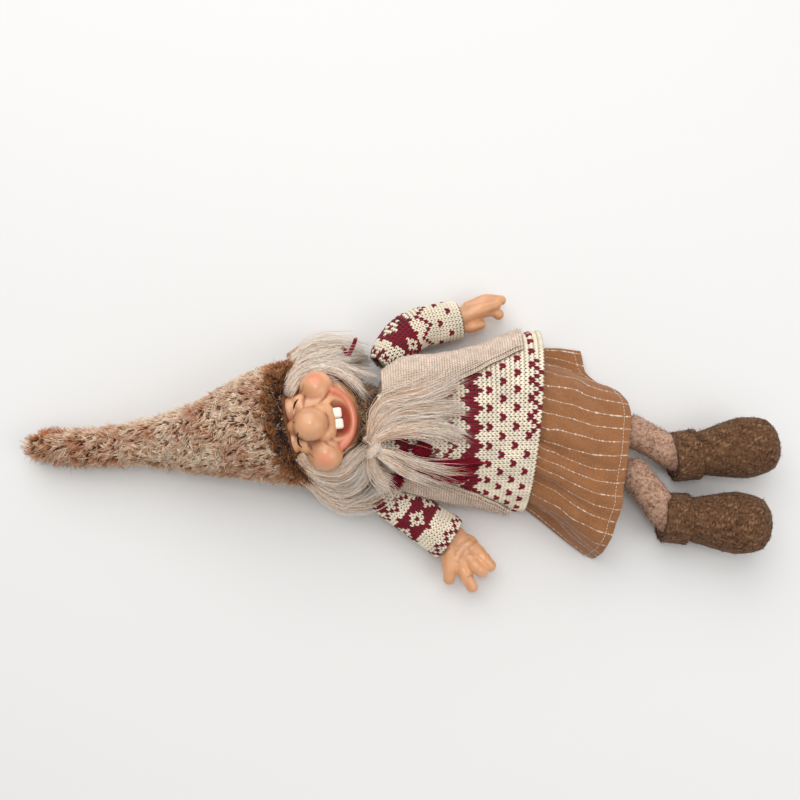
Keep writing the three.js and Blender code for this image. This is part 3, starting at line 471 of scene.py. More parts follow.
def outsides(tree, middles, ways, reach=150.0):
    """Outermost places of solids on rays round middles; a missed ray takes its neighbours' place."""
    rows, columns, _ = ways.shape
    found = np.full((rows, columns), np.nan)
    for row in range(rows):
        for column in range(columns):
            way = Vector(ways[row, column])
            hit = tree.ray_cast(Vector(middles[row]) + way * reach, -way, reach)
            if hit[0] is not None:
                found[row, column] = reach - hit[3]
    flat = found.ravel()
    known = np.flatnonzero(~np.isnan(flat))
    flat = np.interp(np.arange(flat.size), known, flat[known])
    return middles[:, None] + ways * flat.reshape(rows, columns, 1)


def joint_place(name):
    """Place of a joint of the frame."""
    return next(np.array(joint["pos_m"]) / MM for joint in frame["joints"] if joint["name"] == name)


# Materials
class Shading:
    """New material whose nodes are added and linked by short calls."""

    def __init__(self, name, inputs):
        self.made = bpy.data.materials.new(name)
        self.made.use_nodes = True
        self.tree = self.made.node_tree
        self.shader = self.tree.nodes["Principled BSDF"]
        self.fill(self.shader, inputs)

    def fill(self, node, inputs):
        """Sets each input of a node to a value or links it to another node's output."""
        for key, value in inputs.items():
            if isinstance(value, bpy.types.NodeSocket):
                self.tree.links.new(value, node.inputs[key])
            else:
                node.inputs[key].default_value = value

    def node(self, kind, inputs, **settings):
        """Outputs of a new node."""
        made = self.tree.nodes.new(f"ShaderNode{kind}")
        for key, value in settings.items():
            setattr(made, key, value)
        self.fill(made, inputs)
        return made.outputs

    def math(self, operation, *values):
        """Result of a sum on values or outputs."""
        return self.node("Math", dict(enumerate(values)), operation=operation)[0]

    def noise(self, vector, scale, detail=2.0):
        """Noise over a vector."""
        return self.node("TexNoise", {"Vector": vector, "Scale": scale, "Detail": detail})["Fac"]

    def ramp(self, value, low, high, start=0.0, end=1.0, interpolation="SMOOTHSTEP"):
        """Value led from one range to another."""
        inputs = {"Value": value, "From Min": low, "From Max": high, "To Min": start, "To Max": end}
        return self.node("MapRange", inputs, interpolation_type=interpolation)["Result"]

    def mix(self, share, first, second):
        """Colour between two."""
        return self.node("Mix", {"Factor": share, "A": first, "B": second}, data_type="RGBA")["Result"]

    def relief(self, height, depth, strength):
        """Roughens the surface by a height."""
        inputs = {"Strength": strength, "Distance": depth * MM, "Height": height}
        self.fill(self.shader, {"Normal": self.node("Bump", inputs)["Normal"]})


class Finish(NamedTuple):
    """Roughness, grain in millimetres, contrast of the grain, sheen, depth of the relief and clear coat."""

    roughness: float
    grain: float
    contrast: float
    sheen: float = 0.0
    bump: float = 0.0
    coat: float = 0.0


FINISHES = {
    "plush": Finish(0.8, 1.5, 0.15, sheen=0.06),
    "knit": Finish(0.92, 0.45, 0.16, sheen=0.2, bump=0.12),
    "felt": Finish(0.95, 0.9, 0.26, sheen=0.05, bump=0.4),
    "mohair": Finish(0.42, 2.0, 0.08),
    "yarn": Finish(0.92, 0.5, 0.2, bump=0.1),
    "cast": Finish(0.36, 6.0, 0.05, coat=0.5),
    "calico": Finish(0.92, 0.6, 0.08, bump=0.15),
    "tooth": Finish(0.2, 3.0, 0.03, coat=0.4),
    "eye_paint": Finish(0.45, 2.0, 0.05),
}


def finish(kind):
    """Material coloured by a piece's own tint and broken up by fine noise."""
    name = f"doll_{kind}"
    if name in bpy.data.materials:
        return bpy.data.materials[name]
    look = FINISHES[kind]
    made = Shading(name, {
        "Roughness": look.roughness,
        "Specular IOR Level": 0.5 if look.coat else 0.2,
        "Sheen Weight": look.sheen,
        "Sheen Roughness": 0.5,
        "Coat Weight": look.coat,
        "Coat Roughness": 0.18,
    })
    tint = made.node("Attribute", {}, attribute_name="tint")["Color"]
    noise = made.noise(made.node("TexCoord", {})["Object"], 1 / (look.grain * MM), 3.0)
    spread = made.ramp(noise, 0.3, 0.7, 1 - look.contrast, 1 + look.contrast, "LINEAR")
    shade = made.node("VectorMath", {0: tint, "Scale": spread}, operation="SCALE")["Vector"]
    made.fill(made.shader, {"Base Color": shade})
    if look.bump:
        made.relief(noise, look.bump, 0.6)
    return made.made


def cotton_material():
    """Brown cotton with pale slub stripes, counted along the first UV axis and measured along the second."""
    made = Shading("doll_cotton", {"Roughness": 0.9, "Sheen Weight": 0.15})
    place = made.node("TexCoord", {})
    split = made.node("SeparateXYZ", {"Vector": place["UV"]})
    count = split["X"]
    apart = made.math("MULTIPLY", made.math("FLOOR", count), 7.3)
    along = made.node("CombineXYZ", {"X": apart, "Y": split["Y"]})["Vector"]
    slub = made.ramp(made.noise(along, 0.5, 3.0), 0.45, 0.66)
    wander = made.math("MULTIPLY_ADD", made.noise(along, 0.12), 0.05, -0.025)
    stripe = made.math("FRACT", made.math("ADD", count, wander))
    off = made.math("ABSOLUTE", made.math("SUBTRACT", stripe, 0.5))
    inside = made.math("SUBTRACT", made.math("MULTIPLY_ADD", slub, 0.036, 0.026), off)
    strength = made.math("MULTIPLY_ADD", slub, 0.5, 0.45)
    pale = made.math("MULTIPLY", made.ramp(inside, -0.012, 0.02), strength)
    weave = made.noise(place["Object"], 900.0, 4.0)
    patch = made.noise(place["Object"], 130.0, 3.0)
    worn = made.math("ADD", made.math("MULTIPLY", weave, 0.7), made.math("MULTIPLY", patch, 0.3))
    ground = made.mix(made.ramp(worn, 0.3, 0.65), (*COTTON_DARK, 1), (*chosen("cotton"), 1))
    made.fill(made.shader, {"Base Color": made.mix(pale, ground, (*chosen("slub"), 1))})
    made.relief(made.math("ADD", weave, pale), 0.25, 0.7)
    return made.made


def dress(piece, made):
    """Gives a piece its material alone."""
    piece.data.materials.clear()
    piece.data.materials.append(made)


def finished(piece, made, body, *nodes):
    """Gives a piece its material, its body and the solids that it stands for."""
    dress(piece, made)
    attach(piece, body)
    if nodes:
        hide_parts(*nodes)


def bent(piece, made, bodies, span, *nodes):
    """Gives a piece its material, bakes its place into its points and hides the solids that it stands for;
    the two bodies and the span are not used.
    """
    dress(piece, made)
    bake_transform(piece)
    if nodes:
        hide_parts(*nodes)


# Settings
def length_setting(name, description, default):
    """Property for a length."""
    return FloatProperty(name=name, description=description, default=default, unit="LENGTH")


def colour_setting(name, description, red, green, blue):
    """Property for a colour given from 0 to 255."""
    return FloatVectorProperty(name=name, description=description, default=tuple(colour(red, green, blue)),
                               size=3, subtype="COLOR", min=0.0, max=1.0)


class ElfColourSettings(bpy.types.PropertyGroup):
    """Main colours of the doll."""

    skin: colour_setting("Skin", "Colour of the cast face and hands", 217, 159, 116)
    cream: colour_setting("Cream", "Ground of the sweater", 240, 228, 207)
    maroon: colour_setting("Maroon", "Pattern of the sweater and the loose yarn", 122, 12, 33)
    beige: colour_setting("Beige", "Colour of the vest", 236, 214, 195)
    cotton: colour_setting("Cotton", "Ground of the skirt", 156, 103, 62)
    slub: colour_setting("Stripes", "Stripes of the skirt and its hem's thread", 226, 206, 186)
    leg: colour_setting("Legs", "Felt of the legs", 188, 152, 130)
    boot: colour_setting("Boots", "Felt of the boots", 103, 72, 49)


class ElfPlushSettings(bpy.types.PropertyGroup):
    """Pile of the hat, its brim and the head."""

    hat_pile: length_setting("Hat pile", "Length of the hat's pile", 0.0062)
    brim_pile: length_setting("Brim pile", "Length of the brim's pile", 0.0068)
    collar_pile: length_setting("Head pile", "Length of the head's pile", 0.006)
    depth: length_setting("Depth", "Depth of the pile's roots", 0.0036)
    hairs: IntProperty(name="Hairs", description="Hairs of the hat in each of its two coats", default=11800)


class ElfKnitSettings(bpy.types.PropertyGroup):
    """Stitches of the sweater and the vest."""

    stitch_width: length_setting("Stitch width", "Width of a sweater stitch", 0.00275)
    stitch_height: length_setting("Stitch height", "Height of a sweater stitch", 0.0026)
    sleeve_share: FloatProperty(name="Sleeve stitches", default=0.84,
                                description="Size of a sleeve stitch by a sweater stitch")
    fine_width: length_setting("Fine width", "Width of a vest stitch", 0.0018)
    fine_height: length_setting("Fine height", "Height of a vest stitch", 0.0016)


class ElfHairSettings(bpy.types.PropertyGroup):
    """Mohair strands."""

    strand: length_setting("Strand", "Radius of a strand", 0.00014)
    share: FloatProperty(name="Fullness", description="Share of the full count of strands", default=1.0)


class ElfSkirtSettings(bpy.types.PropertyGroup):
    """Striped cotton of the skirt."""

    stripe: length_setting("Stripe", "Distance between stripes", 0.0083)
    hem: length_setting("Hem", "Depth of the sewn hem", 0.0046)
    wall: length_setting("Cloth", "Thickness of the cotton", 0.0007)


class ElfStageSettings(bpy.types.PropertyGroup):
    """Camera, light and floor."""

    camera_at: FloatVectorProperty(name="Camera", description="Place of the camera", size=3,
                                   subtype="TRANSLATION", default=(-0.04501, -0.05972, 0.60465))
    camera_turn: FloatVectorProperty(name="Camera turn", description="Turn of the camera", size=3,
                                     subtype="EULER", default=(math.radians(7.62), 0.0, math.radians(-0.376)))
    lens: FloatProperty(name="Lens", description="Focal length of the camera in millimetres", default=42.3)
    floor: length_setting("Floor", "Length of the floor", 3.0)
    key: FloatProperty(name="Key light", description="Power of the key light in watts", default=15.5)
    fill: FloatProperty(name="Fill light", description="Strength of the light from all round", default=0.52)


class ElfSettings(bpy.types.PropertyGroup):
    """All settings of the doll."""

    colours: PointerProperty(type=ElfColourSettings, name="Colours", description="Main colours of the doll")
    plush: PointerProperty(type=ElfPlushSettings, name="Plush", description="Pile of the plush")
    knit: PointerProperty(type=ElfKnitSettings, name="Knit", description="Stitches of the knits")
    hair: PointerProperty(type=ElfHairSettings, name="Hair", description="Strands of the hair")
    skirt: PointerProperty(type=ElfSkirtSettings, name="Skirt", description="Cloth of the skirt")
    stage: PointerProperty(type=ElfStageSettings, name="Stage", description="Camera, light and floor")


# Stage
FLOOR_TONE = (0.8, 0.797, 0.79, 1)
WORLD_TONE = (1, 0.985, 0.965, 1)
NEAREST = 0.01
# Lights: name, place in metres, size and share of the key light's power
LIGHTS = [
    ("key_light", (-0.3, 0.95, 1.1), 1.6, 1.0),
    ("side_light", (0.8, -0.3, 0.9), 0.8, 0.2),
    ("front_light", (-0.1, 0.1, 1.3), 0.25, 0.13),
]


class ELF_OT_stage(bpy.types.Operator):
    """Lay the pale floor and set the light and the camera"""

    bl_idname = "elf.stage"
    bl_label = "Set Stage"

    def execute(self, context):
        scene = context.scene
        stage = scene.elf.stage
        bpy.ops.object.select_all(action="DESELECT")
        bpy.ops.mesh.primitive_plane_add(size=stage.floor, location=(0, 0, 0))
        floor = context.object
        floor.name = "floor"
        dress(floor, Shading("floor", {"Base Color": FLOOR_TONE, "Roughness": 0.9}).made)
        camera = bpy.data.objects.new("camera", bpy.data.cameras.new("camera"))
        scene.collection.objects.link(camera)
        camera.location = stage.camera_at
        camera.rotation_euler = stage.camera_turn
        camera.data.lens = stage.lens
        camera.data.clip_start = NEAREST
        scene.camera = camera
        lights = [self.light(*row, stage.key) for row in LIGHTS]
        scene.world = scene.world or bpy.data.worlds.new("world")
        scene.world.use_nodes = True
        background = scene.world.node_tree.nodes["Background"]
        background.inputs["Color"].default_value = WORLD_TONE
        background.inputs["Strength"].default_value = stage.fill
        scene.view_settings.view_transform = "Standard"
        return {"FINISHED"}

    def light(self, name, place, size, share, key):
        """Square lamp that points at the origin."""
        bpy.ops.object.light_add(type="AREA", location=place)
        light = bpy.context.object
        light.name = name
        light.data.size = size
        light.data.energy = key * share
        light.rotation_euler = (-Vector(place)).to_track_quat("-Z", "Y").to_euler()
        return light


# Stuffed pieces inside the clothes
# Bags: piece, solid, body, voxel, rounds of smoothing, swell, colour and fill
BAGS = [
    ("torso_stuffed", "torso_bag", "trunk", 2.0, 6, -1.6, CALICO, 0.8),
    ("seat_stuffed", "seat_pouch", "trunk", 1.6, 5, -3.2, CALICO, 0.6),
    ("arm_left_stuffed", "arm_left", "left_arm", 1.2, 4, -1.2, CALICO, 0.8),
    ("arm_right_stuffed", "arm_right", "right_arm", 1.2, 4, -1.2, CALICO, 0.8),
    ("hat_filling", "hat_stuffing", "head", 2.0, 6, -1.2, FILLING, 0.8),
    ("hat_tip_filling", "hat_tip_stuffing", "hat_end", 1.6, 5, -1.2, FILLING, 0.8),
]


class ELF_OT_stuffing(bpy.types.Operator):
    """Round off the stuffed bags inside the clothes and the hat"""

    bl_idname = "elf.stuffing"
    bl_label = "Make Stuffed Pieces"

    def execute(self, context):
        for name, node, body, voxel, smooth, swell, tint, fill in BAGS:
            bag = soft_copy(name, [node], voxel, smooth, swell)
            paint(bag, tint)
            finished(bag, finish("calico"), body, node)
        band = soft_copy("waist_band", ["waist_elastic"], 0.9, 1)
        paint(band, chosen("cotton"))
        finished(band, finish("calico"), "trunk", "waist_elastic")
        return {"FINISHED"}


# Hat
# Middle of the hat: place along, place across, height, slant of the cut and yaw of the cut
HAT_LINE = np.array([
    [-101.0, 3.4, 30.2, 0.42, -0.17],
    [-113.0, 2.8, 30.2, 0.42, -0.17],
    [-126.0, 1.5, 30.0, 0.36, -0.14],
    [-147.0, -1.0, 27.6, 0.25, -0.10],
    [-168.0, -5.0, 24.2, 0.15, -0.05],
    [-200.0, -6.5, 18.4, 0.06, 0.0],
    [-232.0, -9.2, 14.4, 0.0, 0.0],
    [-258.0, -9.0, 12.4, 0.0, 0.0],
    [-279.5, -7.8, 11.2, 0.0, 0.0],
])
HAT_ROWS = 90
HAT_COLUMNS = 72
HAT_EASE = 4
HAT_BODIES = ("head", "hat_end")
HAT_BEND = ((-0.183, 0, 0.02), (-0.209, 0, 0.02))
# Lining: row where it ends, its share of the hat's width there and at the edge
LINING_ROW = 12
LINING_DEEP = 0.78
LINING_EDGE = 0.8
TIP_CAP = 2.5
HAT_TUFT = 3.3
HAT_NAP = np.array([-1.0, -0.25, 0.0])
HAT_SWIRL = 24
HAT_PATCH = 11
# By place along: how much longer the pile is and how much rustier
HAT_LONGER = ([-282, -230, -160], [1.25, 1.2, 1.0])
HAT_RUSTIER = ([-282, -235, -190], [0.3, 0.16, 0.0])
BRIM_ROWS = 5.2
BRIM_HAIRS = 8200
BRIM_TUFT = 2.8
BRIM_RADII = np.array([0.3, 0.28, 0.18])
# By place across: how much rustier the brim's ends are
BRIM_ENDS = ([-34, -12, 16, 40], [0.55, 0.0, 0.0, 0.6])
# Coats of the pile: piece, share of the full length, lean, light, radius of a hair and points along it
HAT_COATS = [
    ("hat_undercoat", 0.8, 0.6, 1.0, 0.52, 3),
    ("hat_topcoat", 1.04, 0.8, 1.14, 0.3, 4),
]


def rings_round(line, turn, lean_up, lean_across):
    """Ways round a line that runs along the doll, with a lean of each ring along it."""
    shape = (len(line), len(turn))
    ways = [
        lean_up[:, None] * np.sin(turn) + lean_across[:, None] * np.cos(turn),
        np.broadcast_to(np.cos(turn), shape),
        np.broadcast_to(np.sin(turn), shape),
    ]
    return unit(np.stack(ways, axis=-1))


def hat_grid():
    """Outside of the hat and its brim, from the brim's edge to the tip, and its middle line."""
    stops = np.linspace(HAT_LINE[0, 0], HAT_LINE[-1, 0], HAT_ROWS)
    line = at_stops(-stops, -HAT_LINE[:, 0], HAT_LINE)
    ways = rings_round(line, turns(HAT_COLUMNS), -line[:, 3], line[:, 4])
    grid = outsides(ray_tree("hat_shell", "hat_brim"), line[:, :3], ways)
    return eased(grid, HAT_EASE), line[:, :3]


class ELF_OT_hat(bpy.types.Operator):
    """Make the plush hat: its backing cloth, two coats of pile and the darker brim"""

    bl_idname = "elf.hat"
    bl_label = "Make Hat"

    def execute(self, context):
        plush = context.scene.elf.plush
        grid, line = hat_grid()
        normals = -grid_normals(grid, True)
        skin = grid - plush.depth / MM * normals
        self.backing(skin, line)
        pick = np.random.default_rng(SEED)
        quads = grid_faces(HAT_ROWS, HAT_COLUMNS, True)
        triangles = np.concatenate([quads[:, [0, 1, 2]], quads[:, [0, 2, 3]]])
        surface = (skin.reshape(-1, 3), normals.reshape(-1, 3), triangles)
        for row in HAT_COATS:
            self.coat(*row, surface, plush, pick)
        self.brim(grid, normals, plush, pick)
        return {"FINISHED"}

    def backing(self, skin, line):
        """Cloth under the pile, turned in at the brim and closed at the tip."""
        end = line[LINING_ROW]
        deep = end + LINING_DEEP * (skin[LINING_ROW] - end)
        edge = line[0] + LINING_EDGE * (skin[0] - line[0])
        rings = np.concatenate([[deep], [edge], skin])
        rows = len(rings)
        points = np.concatenate([rings.reshape(-1, 3), [end], [line[-1] - [TIP_CAP, 0, 0]]])
        quads = grid_faces(rows, HAT_COLUMNS, True)[:, ::-1]
        around = np.arange(HAT_COLUMNS)
        beside = (around + 1) % HAT_COLUMNS
        last = (rows - 1) * HAT_COLUMNS
        start = np.full(HAT_COLUMNS, rows * HAT_COLUMNS)
        caps = np.concatenate([
            np.stack([around, beside, start], axis=-1),
            np.stack([last + beside, last + around, start + 1], axis=-1),
        ])
        piece = mesh_object("hat_backing", points, [caps, quads], HAT_ROOT)
        bent(piece, finish("plush"), HAT_BODIES, HAT_BEND, "hat_shell")

    def coat(self, name, share, lean, light, thick, steps, surface, plush, pick):
        """One coat of the hat's pile, in tufts mottled from rust to grey with pale tips."""
        roots, normals = scatter(surface, plush.hairs, pick)
        count = len(roots)
        tuft = tufts_of(roots, HAT_TUFT, pick)
        swirl = np.stack([mottle(roots, HAT_SWIRL, SEED + k) for k in (1, 2, 3)], axis=1)
        nap = HAT_NAP + 0.5 * swirl
        longer = np.interp(roots[:, 0], *HAT_LONGER)
        lengths = plush.hat_pile / MM * share * longer * pick.uniform(0.7, 1.15, count)
        lines = pile(roots, normals, nap, lengths, lean, pick, tuft, 0.95, 0.72, 0.26, steps)
        own = pick.normal(size=tuft.max() + 1)[tuft]
        patch = 0.5 + 0.2 * mottle(roots, HAT_PATCH, SEED + 5) + 0.26 * own + 0.1 * pick.normal(size=count)
        patch = patch - np.interp(roots[:, 0], *HAT_RUSTIER)
        body = mixed(HAT_RUST, HAT_GREY, patch)
        tip = mixed(HAT_RUST, HAT_TIP, 0.35 + 0.8 * patch)
        left_out = 4 - steps
        above = [mixed(HAT_ROOT, body, 0.8), mixed(body, tip, 0.65), tip][left_out:]
        tints = np.stack([mixed(HAT_ROOT, body, 0.2), *above], axis=1)
        radii = thick * np.array([1.0, 1.0, 0.7])[left_out:] * pick.uniform(0.8, 1.2, (count, 1))
        piece = tube_object(name, lines, radii, tints * light)
        bent(piece, finish("plush"), HAT_BODIES, HAT_BEND)

    def brim(self, grid, normals, plush, pick):
        """Fluffy darker roll of pile along the hat's edge, over the forehead."""
        count = BRIM_HAIRS
        turn = pick.integers(0, HAT_COLUMNS, count)
        part = pick.random(count)[:, None]
        ahead = (turn + 1) % HAT_COLUMNS
        row = BRIM_ROWS * pick.random(count) ** 1.2
        low = row.astype(int)
        step = (row - low)[:, None]
        at = [grid[low + k, turn] * (1 - part) + grid[low + k, ahead] * part for k in (0, 1)]
        out = unit(normals[low, turn])
        roots = at[0] * (1 - step) + at[1] * step - out * pick.uniform(1.0, 4.0, (count, 1))
        back = row / BRIM_ROWS
        nap = np.outer(0.9 - 1.5 * back, [1.0, 0.0, 0.0]) + 0.55 * pick.normal(size=(count, 3))
        lengths = plush.brim_pile / MM * pick.uniform(0.6, 1.2, count)
        tuft = tufts_of(roots, BRIM_TUFT, pick)
        lines = pile(roots, out, nap, lengths, 0.7, pick, tuft, 0.8, 0.6, 0.35)
        rust = 1.05 * back**1.3 + np.interp(roots[:, 1], *BRIM_ENDS)
        rust = rust + 0.36 * pick.normal(size=tuft.max() + 1)[tuft]
        rust = rust + 0.22 * pick.normal(size=count)
        tip = mixed(BRIM_DARK, BRIM_LIGHT, 0.02 + rust)
        tints = np.stack([mixed(BRIM_DARK * 0.6, tip, share) for share in (0.0, 0.4, 0.85, 1.0)], axis=1)
        piece = tube_object("hat_brim_pile", lines, BRIM_RADII, tints)
        finished(piece, finish("plush"), "head", "hat_brim")


# Head
HEAD_HAIRS = 6200
HEAD_TUFT = 2.4
HEAD_NAP = np.array([0.9, 0.2, -0.1])
HEAD_RADII = np.array([0.33, 0.33, 0.24])
# The pile grows forward of the first place; behind the second it grows only below the height, under the chin
HEAD_PILE_FROM = -88
CHIN_FROM = -72.5
CHIN_HEIGHT = 36
NECK_FACE = 0.93
# Head flattened behind the mouth: by place along, share of the height above the level that is taken off
HEAD_SINK = ([-68, -61], [0.65, 0.0])
HEAD_LEVEL = 40


class ELF_OT_head(bpy.types.Operator):
    """Make the stuffed plush head, whose mottled pile shows under the chin"""

    bl_idname = "elf.head"
    bl_label = "Make Head"

    def execute(self, context):
        head = soft_copy("head_backing", ["head_ball"], 1.8, 5, -0.8)
        self.sink(head)
        paint(head, COLLAR_DARK)
        finished(head, finish("plush"), "head", "head_ball")
        pick = np.random.default_rng(SEED + 20)
        roots, normals = scatter(surface_of(head), HEAD_HAIRS, pick, lambda at: at[:, 0] > HEAD_PILE_FROM)
        keep = (normals[:, 0] < NECK_FACE) & ((roots[:, 0] > CHIN_FROM) | (roots[:, 2] < CHIN_HEIGHT))
        roots, normals = roots[keep], normals[keep]
        count = len(roots)
        nap = HEAD_NAP + 0.5 * pick.normal(size=(count, 3))
        lengths = context.scene.elf.plush.collar_pile / MM * pick.uniform(0.7, 1.15, count)
        tuft = tufts_of(roots, HEAD_TUFT, pick)
        lines = pile(roots, normals, nap, lengths, 0.7, pick, tuft, 0.5, 0.5, 0.35)
        patch = 0.42 + 0.32 * mottle(roots, 4, SEED + 21) + 0.26 * pick.normal(size=count)
        tip = mixed(COLLAR_DARK, COLLAR_LIGHT, patch)
        tints = np.stack([mixed(COLLAR_DARK * 0.6, tip, share) for share in (0.0, 0.4, 0.8, 1.0)], axis=1)
        finished(tube_object("head_pile", lines, HEAD_RADII, tints), finish("plush"), "head")
        return {"FINISHED"}

    def sink(self, head):
        """Flattens the head behind the mouth, so that the face lies clear of it."""
        points, _, _ = surface_of(head)
        share = np.interp(points[:, 0], *HEAD_SINK)
        points[:, 2] -= share * np.maximum(points[:, 2] - HEAD_LEVEL, 0)
        move_points(head, points)


# Face
FACE_AT = np.array([-92.0, 2.0, 32.0])
FACE_TURN = math.radians(8)
FACE_AXES = np.array([
    [math.cos(FACE_TURN), -math.sin(FACE_TURN), 0],
    [math.sin(FACE_TURN), math.cos(FACE_TURN), 0],
    [0, 0, 1],
])
FACE_HALF = (27.4, 29.4, 30.0)
# Forms below: along, across, rise, half length, half width, half height
# Nose ball, nostrils, bridge, cheeks, brows, lids and chin
FACE_FORMS = [
    (-5.0, -2.4, 31.0, 10.2, 9.9, 9.4),
    (1.5, 4.4, 27.6, 5.2, 4.6, 4.2),
    (2.0, -8.6, 27.2, 5.2, 4.6, 4.2),
    (-14.5, -2.0, 25.6, 5.5, 4.2, 4.4),
    (0.6, 19.8, 19.4, 10.2, 10.4, 10.2),
    (0.8, -19.4, 19.6, 10.6, 10.8, 10.4),
    (-17.0, 8.6, 20.6, 6.4, 8.0, 5.6),
    (-17.2, -9.4, 20.6, 6.4, 8.0, 5.6),
    (-10.6, 11.6, 22.6, 4.4, 5.8, 3.6),
    (-10.4, -12.6, 22.6, 4.4, 5.8, 3.6),
    (15.5, -0.5, 16.0, 7.5, 13.0, 8.0),
]
MUZZLE = [
    (4.6, -1.5, 24.8, 5.6, 12.0, 4.8),
    (4.4, 3.4, 25.0, 5.2, 6.2, 5.0),
    (4.4, -6.6, 25.0, 5.2, 6.2, 5.0),
]
MOUTH_CUT = (12.4, -1.2, 26.5, 7.6, 12.6, 6.6)
MOUTH_PAINT = (12.4, -1.0, 20.0, 8.2, 13.6, 6.2)
# Hollow behind the mask and the side of the block that cuts it flat at the back
BACK_HOLLOW = (24.0, 26.0, 21.0)
BACK_HOLLOW_DROP = 2.5
BACK_BLOCK = 100.0
BACK_BLOCK_DROP = 48.0
LOWER_LIP = [
    (7.5, 17.4), (12.8, 14.8), (17.4, 9.8), (19.8, 2.6),
    (19.6, -4.6), (17.0, -11.2), (12.4, -16.0), (7.2, -18.2),
]
LIP_RADIUS = 2.5
LIP_STEPS = 40
TEETH = [(10.6, 2.8), (10.8, -3.8)]
TOOTH_RISE = 24.6
TOOTH_SIZE = np.array([6.0, 6.2, 4.0])
TOOTH_TILT = 0.25
TOOTH_BEVEL = 1.5
EYE_ARCS = [
    [(-13.9, 8.4), (-13.4, 10.2), (-12.2, 12.2), (-10.2, 14.2)],
    [(-12.0, -6.6), (-13.6, -9.2), (-13.6, -12.2), (-11.8, -15.0)],
]
EYE_STEPS = 26
EYE_SINK = 0.12
# Wrinkles: laugh lines, folds under the eyes, lines beside the eyes and on the forehead
FACE_CREASES = [
    [(1.5, 9.6), (5.5, 12.6), (9.0, 16.4)],
    [(1.5, -13.6), (5.5, -16.2), (9.0, -18.6)],
    [(-8.4, 8.6), (-7.6, 12.4), (-6.4, 15.6)],
    [(-8.4, -12.4), (-7.6, -15.0), (-6.4, -17.4)],
    [(-11.6, 17.0), (-10.6, 21.6)],
    [(-8.8, 17.6), (-6.4, 21.4)],
    [(-11.6, -17.8), (-10.6, -22.2)],
    [(-8.8, -18.6), (-6.4, -22.2)],
    [(-20.4, -7.0), (-21.0, -2.0), (-20.4, 4.0)],
    [(-13.5, -1.0), (-16.5, 1.4)],
]
CREASE_STEPS = 16
CREASE_DEPTH = 0.75
CREASE_WIDTH = 0.75
# By step along a wrinkle: share of its depth
CREASE_FADE = ([0, 4, 11, 15], [0.4, 1.0, 1.0, 0.4])
FRONT_RISE = 12
HOLLOW_ROUNDS = 24
# Blushed places: along, across, rise, radius, and the pinker forehead
BLUSHES = [(1.0, 24.0, 26.0, 7.5), (0.6, -22.4, 26.0, 7.5)]
FOREHEAD = (-18.5, 1.0, 24.0, 7.0)


def on_face(along, across, rise):
    """Place in the doll's frame of a place on the turned face."""
    return FACE_AT + FACE_AXES @ [along, across, rise]


def face_ball(form, segments=32):
    """Adds an oval form of the face."""
    return add_ball(on_face(*form[:3]), form[3:], FACE_TURN, segments)


def face_rise(along, across):
    """Rise of the face's plain oval at a place."""
    left = 1 - (along / FACE_HALF[0]) ** 2 - (across / FACE_HALF[1]) ** 2
    return FACE_HALF[2] * math.sqrt(max(left, 0.02))


def lip_places(lift):
    """Places along the lower lip, lifted off the plain oval."""
    curve = flat_curve(LOWER_LIP, LIP_STEPS)
    return [on_face(along, across, face_rise(along, across) + lift) for along, across in curve]


def nearness(points, at, radius):
    """Share from 1 at a place to 0 at a radius round it."""
    share = np.clip(1 - np.linalg.norm(points - at, axis=1) / radius, 0, 1)
    return share * share * (3 - 2 * share)


